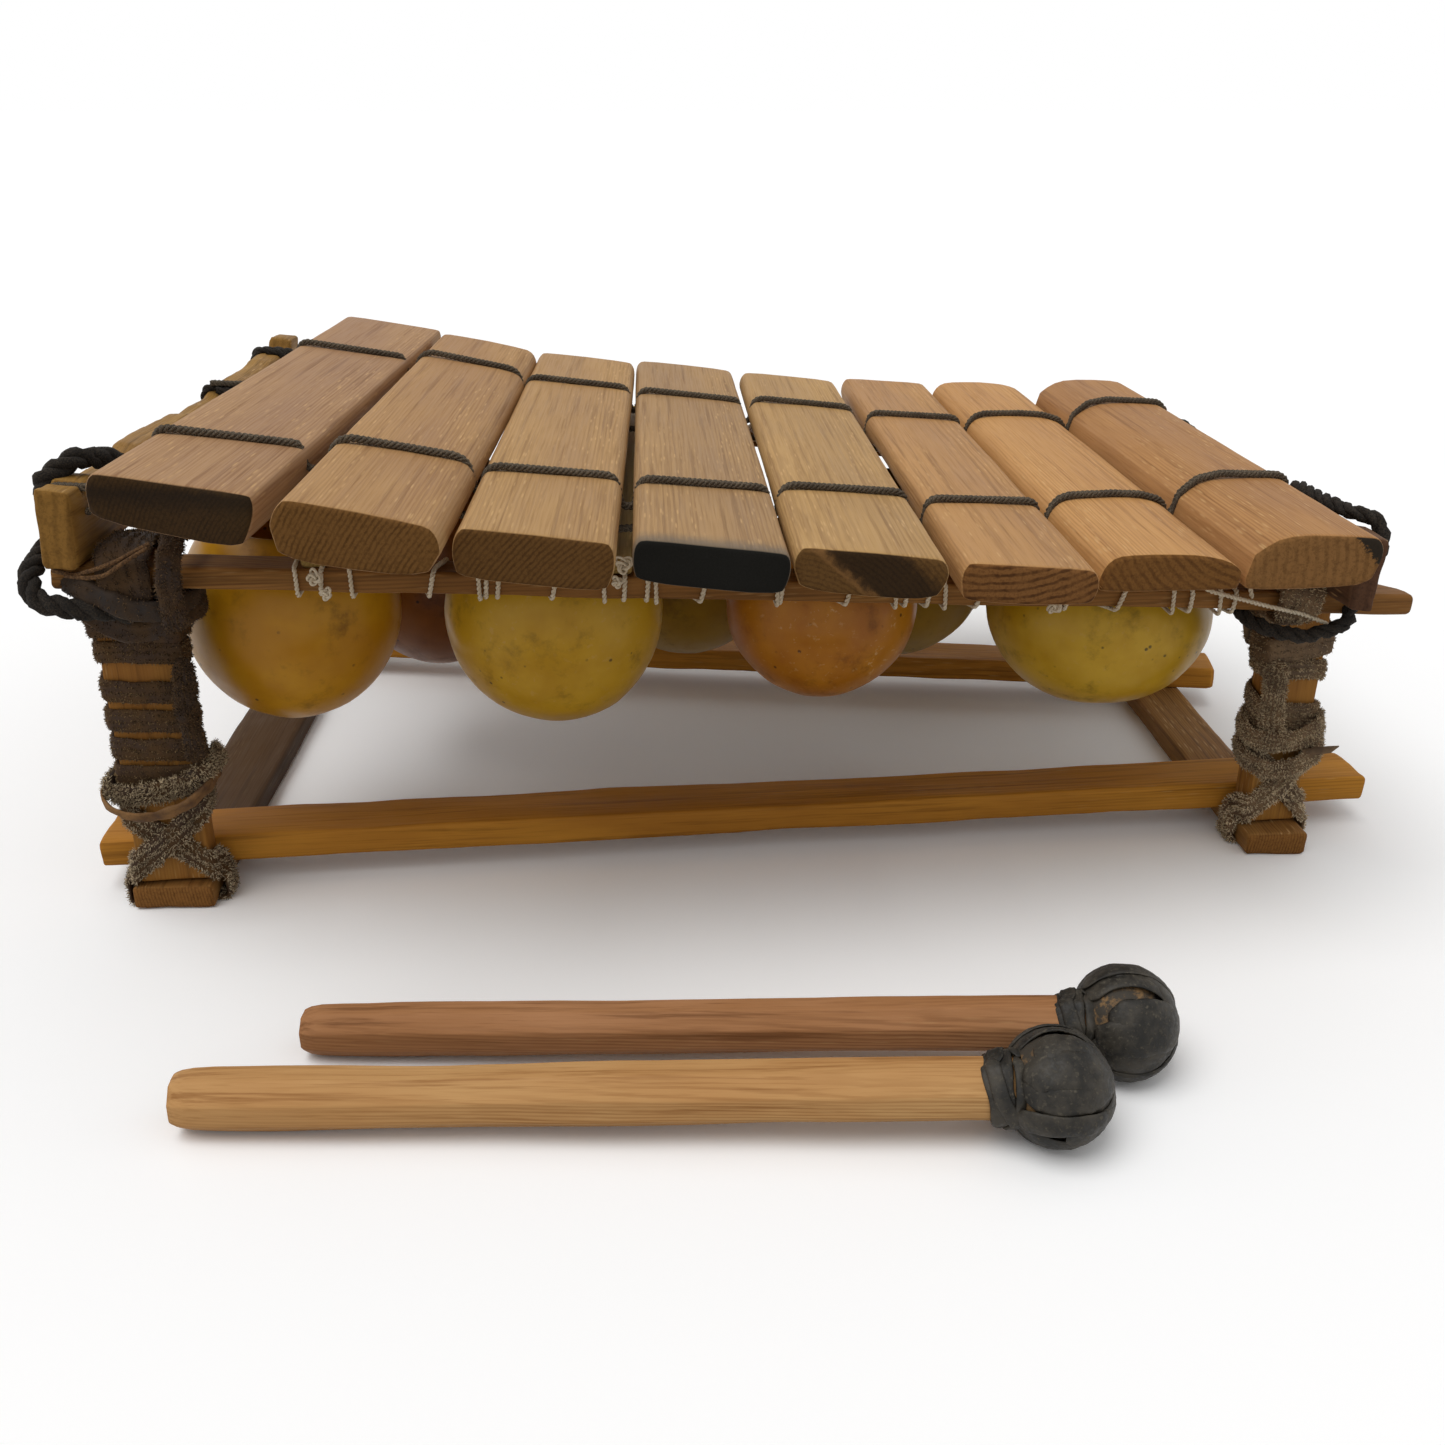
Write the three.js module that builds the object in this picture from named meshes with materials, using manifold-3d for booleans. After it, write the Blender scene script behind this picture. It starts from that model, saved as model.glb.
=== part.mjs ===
// A balafon of eight wooden keys over gourd resonators, and its two beaters.
// Millimetres, +Z up. The keys lie along Y, the lowest note is at -X, and the player's side is -Y.
import * as THREE from 'three';
import { mergeVertices } from 'three/addons/utils/BufferGeometryUtils.js';
import Module from 'manifold-3d';

const wasm = await Module();
wasm.setup();

// Clearances between pieces that touch, and how far a cut runs past what it cuts
const seatGap = 0.3;
const railGap = 0.5;
const overrun = 5;

// Keys, from the lowest note to the highest
const keyCount = 8;
const keyLength = 352;
const keyWidth = 48.4;
const keyThickness = 19;
const keyGap = 4.6;
const keyScoop = 4;
const keyScoopStartShare = 1.2;
const keyEndEase = 1;
const keyRise = 16.5;
const keyFrontReach = 80;
const keyLengthShares = [0.97, 0.93, 0.94, 0.95, 0.91, 0.96, 0.91, 0.83];
const keyWidthShares = [0.988, 1, 0.992, 1, 1, 0.926, 0.992, 0.973];
const keyThicknessShares = [0.89, 0.974, 0.89, 0.784, 0.805, 0.721, 0.69, 1.03];
const keyRiseShares = [0.98, 0.71, 0.35, 0.25, 0.15, 0.03, 0.25, 0.376];
const keyFrontReachShares = [0.77, 1.01, 0.97, 0.945, 0.976, 1, 0.96, 1.01];
const keyTilts = [10.4, 5.4, 3.9, 3.6, 2.1, -0.9, -3.2, -3.7];
const keyTurns = [-2, -1, -0.5, 0.3, -0.1, -0.2, 0, 0.3];
// How far each key lies off its even place, as a share of the gap, and how its top leans across it
const keyShiftShares = [0.25, 0.7, 0.28, 0.37, 0.39, 0.75, 0.07, -0.65];
const keyLeanShares = [0.11, -0.08, 0, 0, -0.02, -0.05, 0, -0.08];
// Radii of the long edges, as shares of the width and of the thickness
const keyLeftTopEdgeShares = [
  [0.07, 0.3], [0.14, 0.45], [0.1, 0.35], [0.08, 0.3], [0.1, 0.35], [0.1, 0.4], [0.18, 0.75], [0.4, 0.8],
];
const keyRightTopEdgeShares = [
  [0.07, 0.3], [0.14, 0.45], [0.1, 0.35], [0.08, 0.3], [0.1, 0.35], [0.1, 0.4], [0.45, 0.5], [0.1, 0.3],
];
const keyLeftBottomEdgeShares = [
  [0.14, 0.55], [0.2, 0.5], [0.12, 0.4], [0.12, 0.4], [0.18, 0.5], [0.12, 0.4], [0.05, 0.2], [0.05, 0.15],
];
const keyRightBottomEdgeShares = [
  [0.14, 0.5], [0.2, 0.5], [0.12, 0.4], [0.12, 0.4], [0.18, 0.5], [0.12, 0.4], [0.05, 0.2], [0.17, 0.6],
];

// Cords that carry the keys and cross over them
const cordDiameter = 3.2;
const cordSides = 8;
const frontCordAtLeft = -140;
const frontCordAtRight = -91;
const rearCordAtLeft = 45;
const rearCordAtRight = 57;
const cordTail = 9;

// Frame: legs between the long rails of the floor and of the top, splayed front to rear
const frontSplay = THREE.MathUtils.degToRad(3.9);
const rearSplay = THREE.MathUtils.degToRad(-8.7);
const bedHeight = 121.4;
const bedSlope = THREE.MathUtils.degToRad(3.4);
const topRailWidth = 17.5;
const topRailThickness = 8;
const topRailLeftReach = 14.5;
const topRailRightReach = 32.7;
const rearTopRailRightReach = 18;
const railCornerCut = 9;
const bottomRailWidth = 26;
const bottomRailThickness = 11.5;
const bottomRailLeftReach = 31.5;
const bottomRailRightReach = 48.3;
const rearBottomRailRightReach = 33.3;
const footRailSpare = 4;
const footRailThickness = 10;
const leftFootReach = 4;
const rightFootReach = 11;
const leftLegWidth = 27;
const rightLegWidth = 21.5;
const legDepth = 14;
const edgeEase = 1;

// End boards, on edge across the top rails outside the keys
const leftBoardThickness = 12;
const rightBoardThickness = 10;
const boardHeight = 27.5;
const leftBoardClearance = 24;
const rightBoardClearance = 2;
const leftBoardFrontReach = 7;
const rightBoardFrontReach = 23;
const boardRearReach = 8;
const leftLegInset = 11.5;
const rightLegInset = 1.7;
const boardHump = 5;
const boardHumpShares = [
  [0, 0], [0.07, 0.05], [0.1, 0.75], [0.2, 0.85], [0.23, 0.3], [0.42, 0.75], [0.45, 1.3], [0.58, 1.5],
  [0.62, 0.9], [0.78, 1.1], [0.82, 0.8], [0.88, 0.9], [0.9, 1.2], [0.94, 1.1], [0.95, 0], [1, 0.1],
];

// Gourds under the keys, hung from sticks that lie across the top rails
const gourdRadius = 49.5;
const gourdHeight = 92;
const gourdWall = 3;
const gourdRimShare = 0.66;
const gourdGap = 2.5;
const gourdSideClearance = 12.2;
const gourdRowAtMiddle = -24;
const gourdRowSlope = 0.079;
const gourdSegments = 16;
const gourdRadiusShares = [0.89, 0.94, 0.93, 0.92, 0.83, 0.89, 1, 0.78];
const gourdHeightShares = [0.88, 0.99, 0.89, 0.92, 0.77, 0.91, 0.78, 0.76];
const gourdShiftShares = [0.06, -0.06, 0, 0.06, 0.06, -0.03, 0.33, -0.05];
const stickWidth = 8.5;
const stickHeight = 6;
const stickEndInset = 2;

// Hide strips, corner ropes and twine
const hideThickness = 1.6;
const footStripWidth = 8;
const wrapStripWidth = 9;
const wrapPitch = 13;
const wrapClearance = 1;
const cornerStripWidth = 8;
const cornerStripClearance = 0.9;
const footCrossHeight = 25;
const ropeDiameter = 6;
const ropeSides = 8;
const ropeInset = 7.8;
const twineDiameter = 1.6;
const twineSides = 5;
const twineStickClearance = 5;
const twineAdvance = 3;

// Beaters
const beaterLength = 281;
const beaterHeadRadius = 17;
const beaterHeadLength = 31;
const beaterNeckWidth = 9;
const beaterNeckThickness = 1.5;
const beaterButtEase = 4;
const stickDiameters = [20, 17.8];
const beaterFacets = 8;
const beaterHeadSegments = 14;
const beaterButts = [[-188.5, -269], [-157.5, -233]];
const beaterTurns = [-3.25, -4.08];

const upright = Math.PI / 2;
const halfTurn = Math.PI;
const strapHalf = hideThickness / 2;
const strapSeat = seatGap + strapHalf;
const object = new THREE.Group();

function piece(parent, name, geometry, color, roughness = 0.7) {
  const mesh = new THREE.Mesh(geometry, new THREE.MeshStandardMaterial({ color, roughness, metalness: 0 }));
  mesh.name = name;
  parent.add(mesh);
  return mesh;
}

function toSolid(geometry) {
  const plain = new THREE.BufferGeometry();
  plain.setAttribute('position', geometry.getAttribute('position'));
  plain.setIndex(geometry.index);
  const merged = mergeVertices(plain);
  return new wasm.Manifold(new wasm.Mesh({
    numProp: 3,
    vertProperties: new Float32Array(merged.getAttribute('position').array),
    triVerts: new Uint32Array(merged.index.array),
  }));
}

function toGeometry(solid) {
  const { vertProperties, triVerts } = solid.getMesh();
  const geometry = new THREE.BufferGeometry();
  geometry.setAttribute('position', new THREE.BufferAttribute(vertProperties, 3));
  geometry.setIndex(new THREE.BufferAttribute(triVerts, 1));
  geometry.computeVertexNormals();
  return geometry;
}

function cut(geometry, ...cutters) {
  return toGeometry(cutters.reduce((solid, cutter) => solid.subtract(toSolid(cutter)), toSolid(geometry)));
}

// A closed body from rings of the same number of points, with a lid at each end
function loft(rings) {
  const size = rings[0].length;
  const index = [];
  for (let ring = 0; ring < rings.length - 1; ring++) {
    for (let side = 0; side < size; side++) {
      const here = ring * size + side;
      const next = ring * size + ((side + 1) % size);
      const split = side < size / 2 ? [here + size, next] : [next + size, here];
      index.push(here, next, split[0], split[1], next + size, here + size);
    }
  }
  const last = (rings.length - 1) * size;
  for (let side = 1; side < size - 1; side++) {
    index.push(0, side + 1, side, last, last + side, last + side + 1);
  }
  const geometry = new THREE.BufferGeometry();
  geometry.setAttribute('position', new THREE.Float32BufferAttribute(rings.flat(2), 3));
  geometry.setIndex(index);
  geometry.computeVertexNormals();
  return geometry;
}

// A flat strip along stations: a place, the direction its outer face looks in, and the way across it
function strap(stations, width) {
  const rings = stations.map(([middle, outward, across]) => {
    const place = new THREE.Vector3(...middle);
    const out = new THREE.Vector3(...outward).normalize();
    const side = new THREE.Vector3(...across);
    const corner = (edge, face) =>
      place.clone().addScaledVector(side, edge * width / 2).addScaledVector(out, face * strapHalf).toArray();
    return [corner(-1, -1), corner(-1, 1), corner(1, 1), corner(1, -1)];
  });
  return loft(rings);
}

// A path that runs straight from point to point, and is cut square at each of them
class CordPath extends THREE.Curve {
  constructor(points) {
    super();
    this.points = points.map((point) => new THREE.Vector3(...point));
  }

  getPoint(share, target = new THREE.Vector3()) {
    const place = share * (this.points.length - 1);
    const step = Math.min(Math.floor(place), this.points.length - 2);
    return target.lerpVectors(this.points[step], this.points[step + 1], place - step);
  }

  getPointAt(share, target) {
    return this.getPoint(share, target);
  }

  getTangentAt(share, target = new THREE.Vector3()) {
    const step = Math.round(share * (this.points.length - 1));
    const here = this.points[step];
    const before = this.points[Math.max(step - 1, 0)];
    const after = this.points[Math.min(step + 1, this.points.length - 1)];
    target.copy(after).sub(here).normalize();
    return target.add(here.clone().sub(before).normalize()).normalize();
  }
}

function tube(points, diameter, sides) {
  const section = new THREE.Shape(Array.from({ length: sides }, (_, side) => {
    const angle = (side / sides) * 2 * halfTurn;
    return new THREE.Vector2(Math.cos(angle), Math.sin(angle)).multiplyScalar(diameter / 2);
  }));
  return new THREE.ExtrudeGeometry(section, { steps: points.length - 1, extrudePath: new CordPath(points) });
}

// A slab with eased edges over an outline, its underside at zero
function slab(outline, thickness, ease) {
  const shape = new THREE.Shape(outline.map(([x, y]) => new THREE.Vector2(x, y)));
  const geometry = new THREE.ExtrudeGeometry(shape, {
    depth: thickness - 2 * ease, bevelSize: ease, bevelThickness: ease, bevelOffset: -ease, bevelSegments: 1,
  });
  return geometry.translate(0, 0, ease);
}

function bar(length, width, thickness) {
  const outline = [[0, 0], [length, 0], [length, width], [0, width]];
  return slab(outline, thickness, edgeEase).translate(-length / 2, -width / 2, 0);
}

// Least distance between turns of a winding, from one turn apart along it, less the strip itself
function printLeastGap(name, places, perTurn, reach) {
  let least = Infinity;
  places.forEach((place, step) => {
    for (let other = step + perTurn - 1; other < places.length; other++) {
      least = Math.min(least, Math.hypot(...place.map((value, axis) => value - places[other][axis])));
    }
  });
  console.log(`${name}: least gap to itself ${(least - reach).toFixed(2)} mm`);
}

// Plan of the keyboard and the frame along X
const keyPitch = keyWidth + keyGap;
const keyboardHalf = (keyPitch * keyCount - keyGap) / 2;
const keyPlaces = Array.from({ length: keyCount }, (_, key) => (key - (keyCount - 1) / 2) * keyPitch);
const leftBoardPlace = -keyboardHalf - leftBoardClearance - leftBoardThickness / 2;
const rightBoardPlace = keyboardHalf + rightBoardClearance + rightBoardThickness / 2;
const gourdRowStep = Math.sqrt((2 * gourdRadius + gourdGap) ** 2 - keyPitch ** 2);
const frameDepth = gourdRowStep + 2 * (gourdRadius + gourdSideClearance);
const firstKey = keyPlaces[0];
const lastKey = keyPlaces[keyCount - 1];
const outerReach = legDepth + railGap + topRailWidth;

const cordLines = {
  front: (x) => THREE.MathUtils.mapLinear(x, firstKey, lastKey, frontCordAtLeft, frontCordAtRight),
  rear: (x) => THREE.MathUtils.mapLinear(x, firstKey, lastKey, rearCordAtLeft, rearCordAtRight),
};

// The two sides of the frame. On each, X runs along the rails, and -Y points away from the keys.
const sides = {
  front: {
    way: 1,
    turn: frontSplay,
    splay: frontSplay,
    rightReach: topRailRightReach,
    floorReach: bottomRailRightReach,
  },
  rear: {
    way: -1,
    turn: halfTurn + rearSplay,
    splay: rearSplay,
    rightReach: rearTopRailRightReach,
    floorReach: rearBottomRailRightReach,
  },
};
const sideNames = Object.keys(sides);

// The two ends of the frame, each with its board, its legs and its foot rail
const ends = {
  left: {
    way: -1,
    board: leftBoardPlace,
    face: leftBoardThickness / 2,
    leg: leftBoardPlace + leftLegInset,
    legWidth: leftLegWidth,
    boardReach: leftBoardFrontReach,
    footReach: leftFootReach,
  },
  right: {
    way: 1,
    board: rightBoardPlace,
    face: rightBoardThickness / 2,
    leg: rightBoardPlace - rightLegInset,
    legWidth: rightLegWidth,
    boardReach: rightBoardFrontReach,
    footReach: rightFootReach,
  },
};
const endNames = Object.keys(ends);

function railLine(name, x) {
  const { way, splay } = sides[name];
  return -way * frameDepth / 2 + x * Math.tan(splay);
}

function alongSide(name, x) {
  const { way, splay } = sides[name];
  return way * x / Math.cos(splay);
}

function sideGroup(parent, name) {
  const group = new THREE.Group();
  group.position.y = railLine(name, 0);
  group.rotation.z = sides[name].turn;
  parent.add(group);
  return group;
}

// The bed is the tilted plane of the top rails' undersides. Its own Z starts there.
const bed = new THREE.Group();
bed.position.z = bedHeight;
bed.rotation.y = bedSlope;
object.add(bed);

function bedLevel(x, height) {
  return bedHeight - x * Math.tan(bedSlope) + height / Math.cos(bedSlope);
}

const railTop = topRailThickness;
const stickTop = railTop + seatGap + stickHeight;
const keyBase = stickTop + seatGap + cordDiameter + seatGap;

// Keys
function keySize(key) {
  const width = keyWidth * keyWidthShares[key];
  const thickness = keyThickness * keyThicknessShares[key];
  const edge = (shares) => [width * shares[key][0], thickness * shares[key][1]];
  const length = keyLength * keyLengthShares[key];
  const front = cordLines.front(keyPlaces[key]) - keyFrontReach * keyFrontReachShares[key];
  return {
    width,
    thickness,
    length,
    lean: keyLeanShares[key],
    middle: front + length / 2,
    tops: { left: edge(keyLeftTopEdgeShares), right: edge(keyRightTopEdgeShares) },
    bottoms: { left: edge(keyLeftBottomEdgeShares), right: edge(keyRightBottomEdgeShares) },
  };
}

// A point on a rounded long edge, moved out from the surface by an offset
function edgePoint(width, level, [across, down], angle, side, up, offset) {
  const out = new THREE.Vector2(Math.sin(angle) / across, Math.cos(angle) / down).normalize();
  const x = width / 2 - across + across * Math.sin(angle) + offset * out.x;
  const z = level + up * (down * Math.cos(angle) - down + offset * out.y);
  return [side * x, z];
}

function leanOver(size, [x, z]) {
  return [x, z * (1 + size.lean * 2 * x / size.width)];
}

function keySection(size, inset, scoop) {
  const width = size.width - 2 * inset;
  const topAngles = [0, 1 / 3, 2 / 3, 1].map((share) => share * upright);
  const bottomAngles = [1, 1 / 2, 0].map((share) => share * upright);
  const half = (name, side) => {
    const spare = size.thickness - size.tops[name][1];
    const depth = Math.min(scoop, spare / 2);
    const bottom = [size.bottoms[name][0], size.bottoms[name][1] * (spare - depth - 2 * inset) / spare];
    const level = size.thickness - inset;
    const high = topAngles.map((angle) => edgePoint(width, level, size.tops[name], angle, side, 1, 0));
    const low = bottomAngles.map((angle) => edgePoint(width, inset + depth, bottom, angle, side, -1, 0));
    return [...high, ...low];
  };
  return [...half('right', 1), ...half('left', -1).toReversed()].map((point) => leanOver(size, point));
}

function keyGeometry(size) {
  const end = size.length / 2;
  const scoopEnd = end - keyFrontReach * keyScoopStartShare;
  const front = [[-end, keyEndEase, 0], [keyEndEase - end, 0, 0], [-scoopEnd, 0, 0], [-scoopEnd * 0.6, 0, 0.8]];
  const rear = front.toReversed().map(([y, inset, depth]) => [-y, inset, depth]);
  const all = [...front, [0, 0, 1], ...rear];
  return loft(all.map(([y, inset, depthShare]) =>
    keySection(size, inset, keyScoop * depthShare).map(([x, z]) => [x, y, z])));
}

function keyFrame(key) {
  const group = new THREE.Group();
  const x = keyPlaces[key] + keyGap * keyShiftShares[key];
  group.position.set(x, keySize(key).middle, keyBase + keyRise * keyRiseShares[key]);
  const [tilt, turn] = [keyTilts[key], keyTurns[key]].map(THREE.MathUtils.degToRad);
  group.rotation.set(0, tilt, turn, 'ZYX');
  return group;
}

function makeKeys() {
  for (let key = 0; key < keyCount; key++) {
    const group = keyFrame(key);
    bed.add(group);
    piece(group, `key_${key + 1}`, keyGeometry(keySize(key)), 0x9a6a3c, 0.55);
  }
}

// A point of a key's section, in the bed, on the line of a cord
function onKey(key, [x, z], line) {
  const size = keySize(key);
  const frame = keyFrame(key);
  frame.updateMatrix();
  const along = (line(frame.position.x) - frame.position.y) / Math.cos(frame.rotation.z);
  const place = new THREE.Vector3(x, along, z).applyMatrix4(frame.matrix);
  return [place.x, line(place.x), place.z];
}

const cordRadius = cordDiameter / 2;
const cordSeat = seatGap + cordRadius;
const keyCordSeat = cordSeat + seatGap;

// Cords end over the end boards, in notches at this height of the cord's middle
function notchLevel({ way }, line) {
  const key = way < 0 ? 0 : keyCount - 1;
  const edge = onKey(key, [way * keySize(key).width / 2, -cordSeat], line);
  return Math.min(edge[2], railTop + boardHeight - cordRadius);
}

function supportCordPoints(line) {
  const points = [];
  for (let key = 0; key < keyCount; key++) {
    const { width, bottoms } = keySize(key);
    const flats = [bottoms.left[0] - width, width - bottoms.right[0]];
    points.push(...flats.map((x) => onKey(key, [x / 2, -cordSeat], line)));
  }
  return withCordEnds(points, line, 0);
}

function keyCordPoints(line) {
  const points = [];
  const angles = [0, 0.35, 0.65].map((share) => share * upright);
  for (let key = 0; key < keyCount; key++) {
    const size = keySize(key);
    const over = (angle, side) => {
      const edge = side < 0 ? size.tops.left : size.tops.right;
      const point = edgePoint(size.width, size.thickness, edge, angle, side, 1, keyCordSeat);
      return onKey(key, leanOver(size, point), line);
    };
    points.push(...angles.toReversed().map((angle) => over(angle, -1)));
    points.push(...angles.map((angle) => over(angle, 1)));
  }
  return withCordEnds(points.reduce(forward, []), line, cordDiameter + seatGap);
}

// Leaves out a point that doesn't lead on to the right, where two keys stand close together
function forward(kept, point) {
  return kept.length && point[0] - kept[kept.length - 1][0] < cordRadius ? kept : [...kept, point];
}

// A quarter turn over a board's top edge, then down, as distances out and up from that edge
function overEdge(radius, tail) {
  const outside = radius / Math.cos(upright / 4) * Math.SQRT1_2;
  return [[0, radius], [outside, outside], [radius, 0], [radius, -tail]];
}

// Leads a cord over both end boards and a little way down their outer faces
function withCordEnds(points, line, lift) {
  const leads = Object.values(ends).map((end) => {
    const { way, board, face } = end;
    const level = notchLevel(end, line) - cordSeat;
    const turn = overEdge(cordSeat + lift, cordTail).map(([away, up]) =>
      [board + way * (face + away), line(board), level + up]);
    return [[board - way * face, line(board), level + cordSeat + lift], ...turn];
  });
  return [...leads[0].toReversed(), ...points, ...leads[1]];
}

function makeCords() {
  for (const name of sideNames) {
    const line = cordLines[name];
    piece(bed, `support_cord_${name}`, tube(supportCordPoints(line), cordDiameter, cordSides), 0x3c342b, 0.9);
    piece(bed, `key_cord_${name}`, tube(keyCordPoints(line), cordDiameter, cordSides), 0x3c342b, 0.9);
  }
}

// End boards, with humps along the top, a dip for each rope and a notch for each cord
function boardSpan({ board, boardReach }) {
  const front = railLine('front', board) - outerReach - boardReach;
  return [front, railLine('rear', board) + outerReach + boardRearReach];
}

// Where the rope of a corner crosses the top of its end board
function ropeLine(name, board) {
  const { way } = sides[name];
  return railLine(name, board) - way * (legDepth - ropeInset + railGap);
}

function notchCutter(place, level, radius, thickness) {
  const top = boardHeight + overrun;
  const shape = new THREE.Shape();
  shape.moveTo(place - radius, top);
  shape.lineTo(place - radius, level);
  shape.absarc(place, level, radius, halfTurn, 2 * halfTurn, false);
  shape.lineTo(place + radius, top);
  const depth = thickness + 2 * overrun;
  const geometry = new THREE.ExtrudeGeometry(shape, { depth, bevelEnabled: false, curveSegments: 6 });
  return geometry.translate(0, 0, -overrun);
}

function boardGeometry(end) {
  const { board, face } = end;
  const [front, rear] = boardSpan(end);
  const top = boardHumpShares.map(([along, down]) => [
    THREE.MathUtils.lerp(front, rear, along), boardHeight - boardHump * down,
  ]);
  const outline = [[front, 0], [rear, 0], ...top.toReversed()];
  const base = slab(outline, 2 * face, edgeEase);
  const seat = railTop + seatGap;
  const cutters = sideNames.flatMap((name) => [
    notchCutter(cordLines[name](board), notchLevel(end, cordLines[name]) - seat, cordSeat, 2 * face),
    notchCutter(ropeLine(name, board), ropeLevel() - seat, seatGap + ropeDiameter / 2, 2 * face),
  ]);
  const stood = new THREE.Matrix4().makeBasis(
    new THREE.Vector3(0, 1, 0), new THREE.Vector3(0, 0, 1), new THREE.Vector3(1, 0, 0),
  );
  return cut(base, ...cutters).applyMatrix4(stood).translate(board - face, 0, seat);
}

function makeBoards() {
  piece(bed, 'end_board_left', boardGeometry(ends.left), 0x8f6233, 0.75);
  piece(bed, 'end_board_right', boardGeometry(ends.right), 0x6d4a2c, 0.75);
}

// Ropes that bind each end board to the rail below it
function ropeLevel() {
  return railTop + seatGap + boardHeight - boardHump;
}

function ropePoints(name, { way: outward, board, face, leg, legWidth }) {
  const { way, splay } = sides[name];
  const seat = seatGap + ropeDiameter / 2;
  const at = (distance) => board + outward * distance;
  const over = ropeLine(name, board);
  const near = (x) => railLine(name, x) - way * (legDepth + railGap - seat) / Math.cos(splay);
  const far = (x) => railLine(name, x) - way * (outerReach + seat) / Math.cos(splay);
  const top = ropeLevel() - seat;
  const side = face + seat;
  const legHalf = legWidth / 2 + legDepth * Math.abs(Math.sin(splay));
  const legSide = outward * (leg / Math.cos(bedSlope) - board) + legHalf + 2 * seatGap + seat;
  const outerSide = Math.max(side, legSide);
  const turn = overEdge(seat, seat);
  const outer = turn.map(([away, up]) => [at(face + away), over, top + up]);
  const inner = turn.map(([away, up]) => [at(-face - away), over, top + up]);
  const low = -seat;
  const bend = seat * 1.2;
  return [
    [at(-side), far(at(-side)), 0],
    [at(-side), far(at(-side)), railTop + seat],
    [at(-side), (far(at(-side)) + over) / 2, (railTop + top + seat) / 2],
    ...inner.toReversed(),
    ...outer,
    [at(outerSide), near(at(outerSide)), railTop],
    [at(outerSide), near(at(outerSide)), low / 2],
    [at(outerSide - seatGap), near(at(outerSide)) - way * bend, low],
    [at(-face / 2), far(at(-face / 2)) + way * bend, low],
    [at(-face), far(at(-face)) + way * seat / 2, low],
  ];
}

function makeRopes() {
  for (const name of sideNames) {
    for (const end of endNames) {
      const points = ropePoints(name, ends[end]);
      piece(bed, `corner_rope_${name}_${end}`, tube(points, ropeDiameter, ropeSides), 0x2a2622, 0.95);
    }
  }
}

// Long rails. The right end has the corner on the side of the keys cut away.
function railGeometry(name, width, thickness, [leftReach, rightReach], cornerCut) {
  const left = alongSide(name, ends.left.leg - leftReach);
  const right = alongSide(name, ends.right.leg + rightReach);
  const cutStart = right - cornerCut * sides[name].way;
  const outline = [[left, 0], [right, 0], [right, width - cornerCut], [cutStart, width], [left, width]];
  return slab(outline, thickness, edgeEase);
}

function makeRails() {
  for (const name of sideNames) {
    const { rightReach, floorReach } = sides[name];
    const reaches = [bottomRailLeftReach, floorReach];
    const low = railGeometry(name, bottomRailWidth, bottomRailThickness, reaches, 2 * edgeEase);
    low.translate(0, seatGap, footRailThickness + seatGap);
    piece(sideGroup(object, name), `bottom_rail_${name}`, low, 0xa87434, 0.6);
    const high = railGeometry(name, topRailWidth, topRailThickness, [topRailLeftReach, rightReach], railCornerCut);
    high.translate(0, -outerReach, 0);
    piece(sideGroup(bed, name), `top_rail_${name}`, high, 0x76502e, 0.7);
  }
}

// Foot rails lie on the floor front to back, and each leg stands on one
const footStripSeat = seatGap + hideThickness;

function makeFootRails() {
  for (const end of endNames) {
    const { leg, legWidth, footReach } = ends[end];
    const width = legWidth + footRailSpare;
    const front = railLine('front', leg) - legDepth - footReach;
    const rear = railLine('rear', leg) + legDepth + footReach;
    const base = bar(rear - front, width, footRailThickness).rotateZ(upright);
    base.translate(leg, (front + rear) / 2, 0);
    const grooveDepth = footStripSeat + seatGap;
    const grooves = sideNames.map((side) => {
      const groove = new THREE.BoxGeometry(width * 2, footStripWidth + 2 * railGap, 2 * grooveDepth);
      groove.translate(0, -legDepth / 2, 0).rotateZ(sides[side].turn);
      return groove.translate(leg, railLine(side, leg), 0);
    });
    piece(object, `foot_rail_${end}`, cut(base, ...grooves), 0x8a5f33, 0.65);
  }
}

// Legs, their hide and their lashings, each in a frame with the leg's inner face on Y = 0
function cornerGroup(name, place) {
  const group = sideGroup(object, name);
  const corner = new THREE.Group();
  corner.position.x = alongSide(name, place);
  group.add(corner);
  return corner;
}

function railLevels({ leg, legWidth }) {
  const spread = (legWidth / 2 + outerReach * Math.abs(Math.tan(rearSplay))) * Math.tan(bedSlope);
  return { low: bedLevel(leg, 0) - spread, high: bedLevel(leg, railTop) + spread };
}

function legGeometry({ leg, legWidth }) {
  const foot = footRailThickness + seatGap;
  const height = bedLevel(leg + legWidth / 2 + legDepth, railTop) - seatGap - foot;
  return bar(legWidth, legDepth, height).translate(0, -legDepth / 2, foot);
}

// The strip's way round a leg, from the inner face on, each place with its outward direction
const wrapOuter = -legDepth - strapSeat;
const footLashTop = footRailThickness + footStripWidth * 1.5 + footCrossHeight;
const cornerLashDrop = cornerStripWidth * 3.2;
const turnSteps = 8;

function wrapTurn(half) {
  return [
    [[0, strapSeat], [0, 1]], [[-half, strapSeat], [-1, 1]], [[-half, -legDepth / 2], [-1, 0]],
    [[-half, wrapOuter], [-1, -1]], [[0, wrapOuter], [0, -1]], [[half, wrapOuter], [1, -1]],
    [[half, -legDepth / 2], [1, 0]], [[half, strapSeat], [1, 1]],
  ];
}

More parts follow.
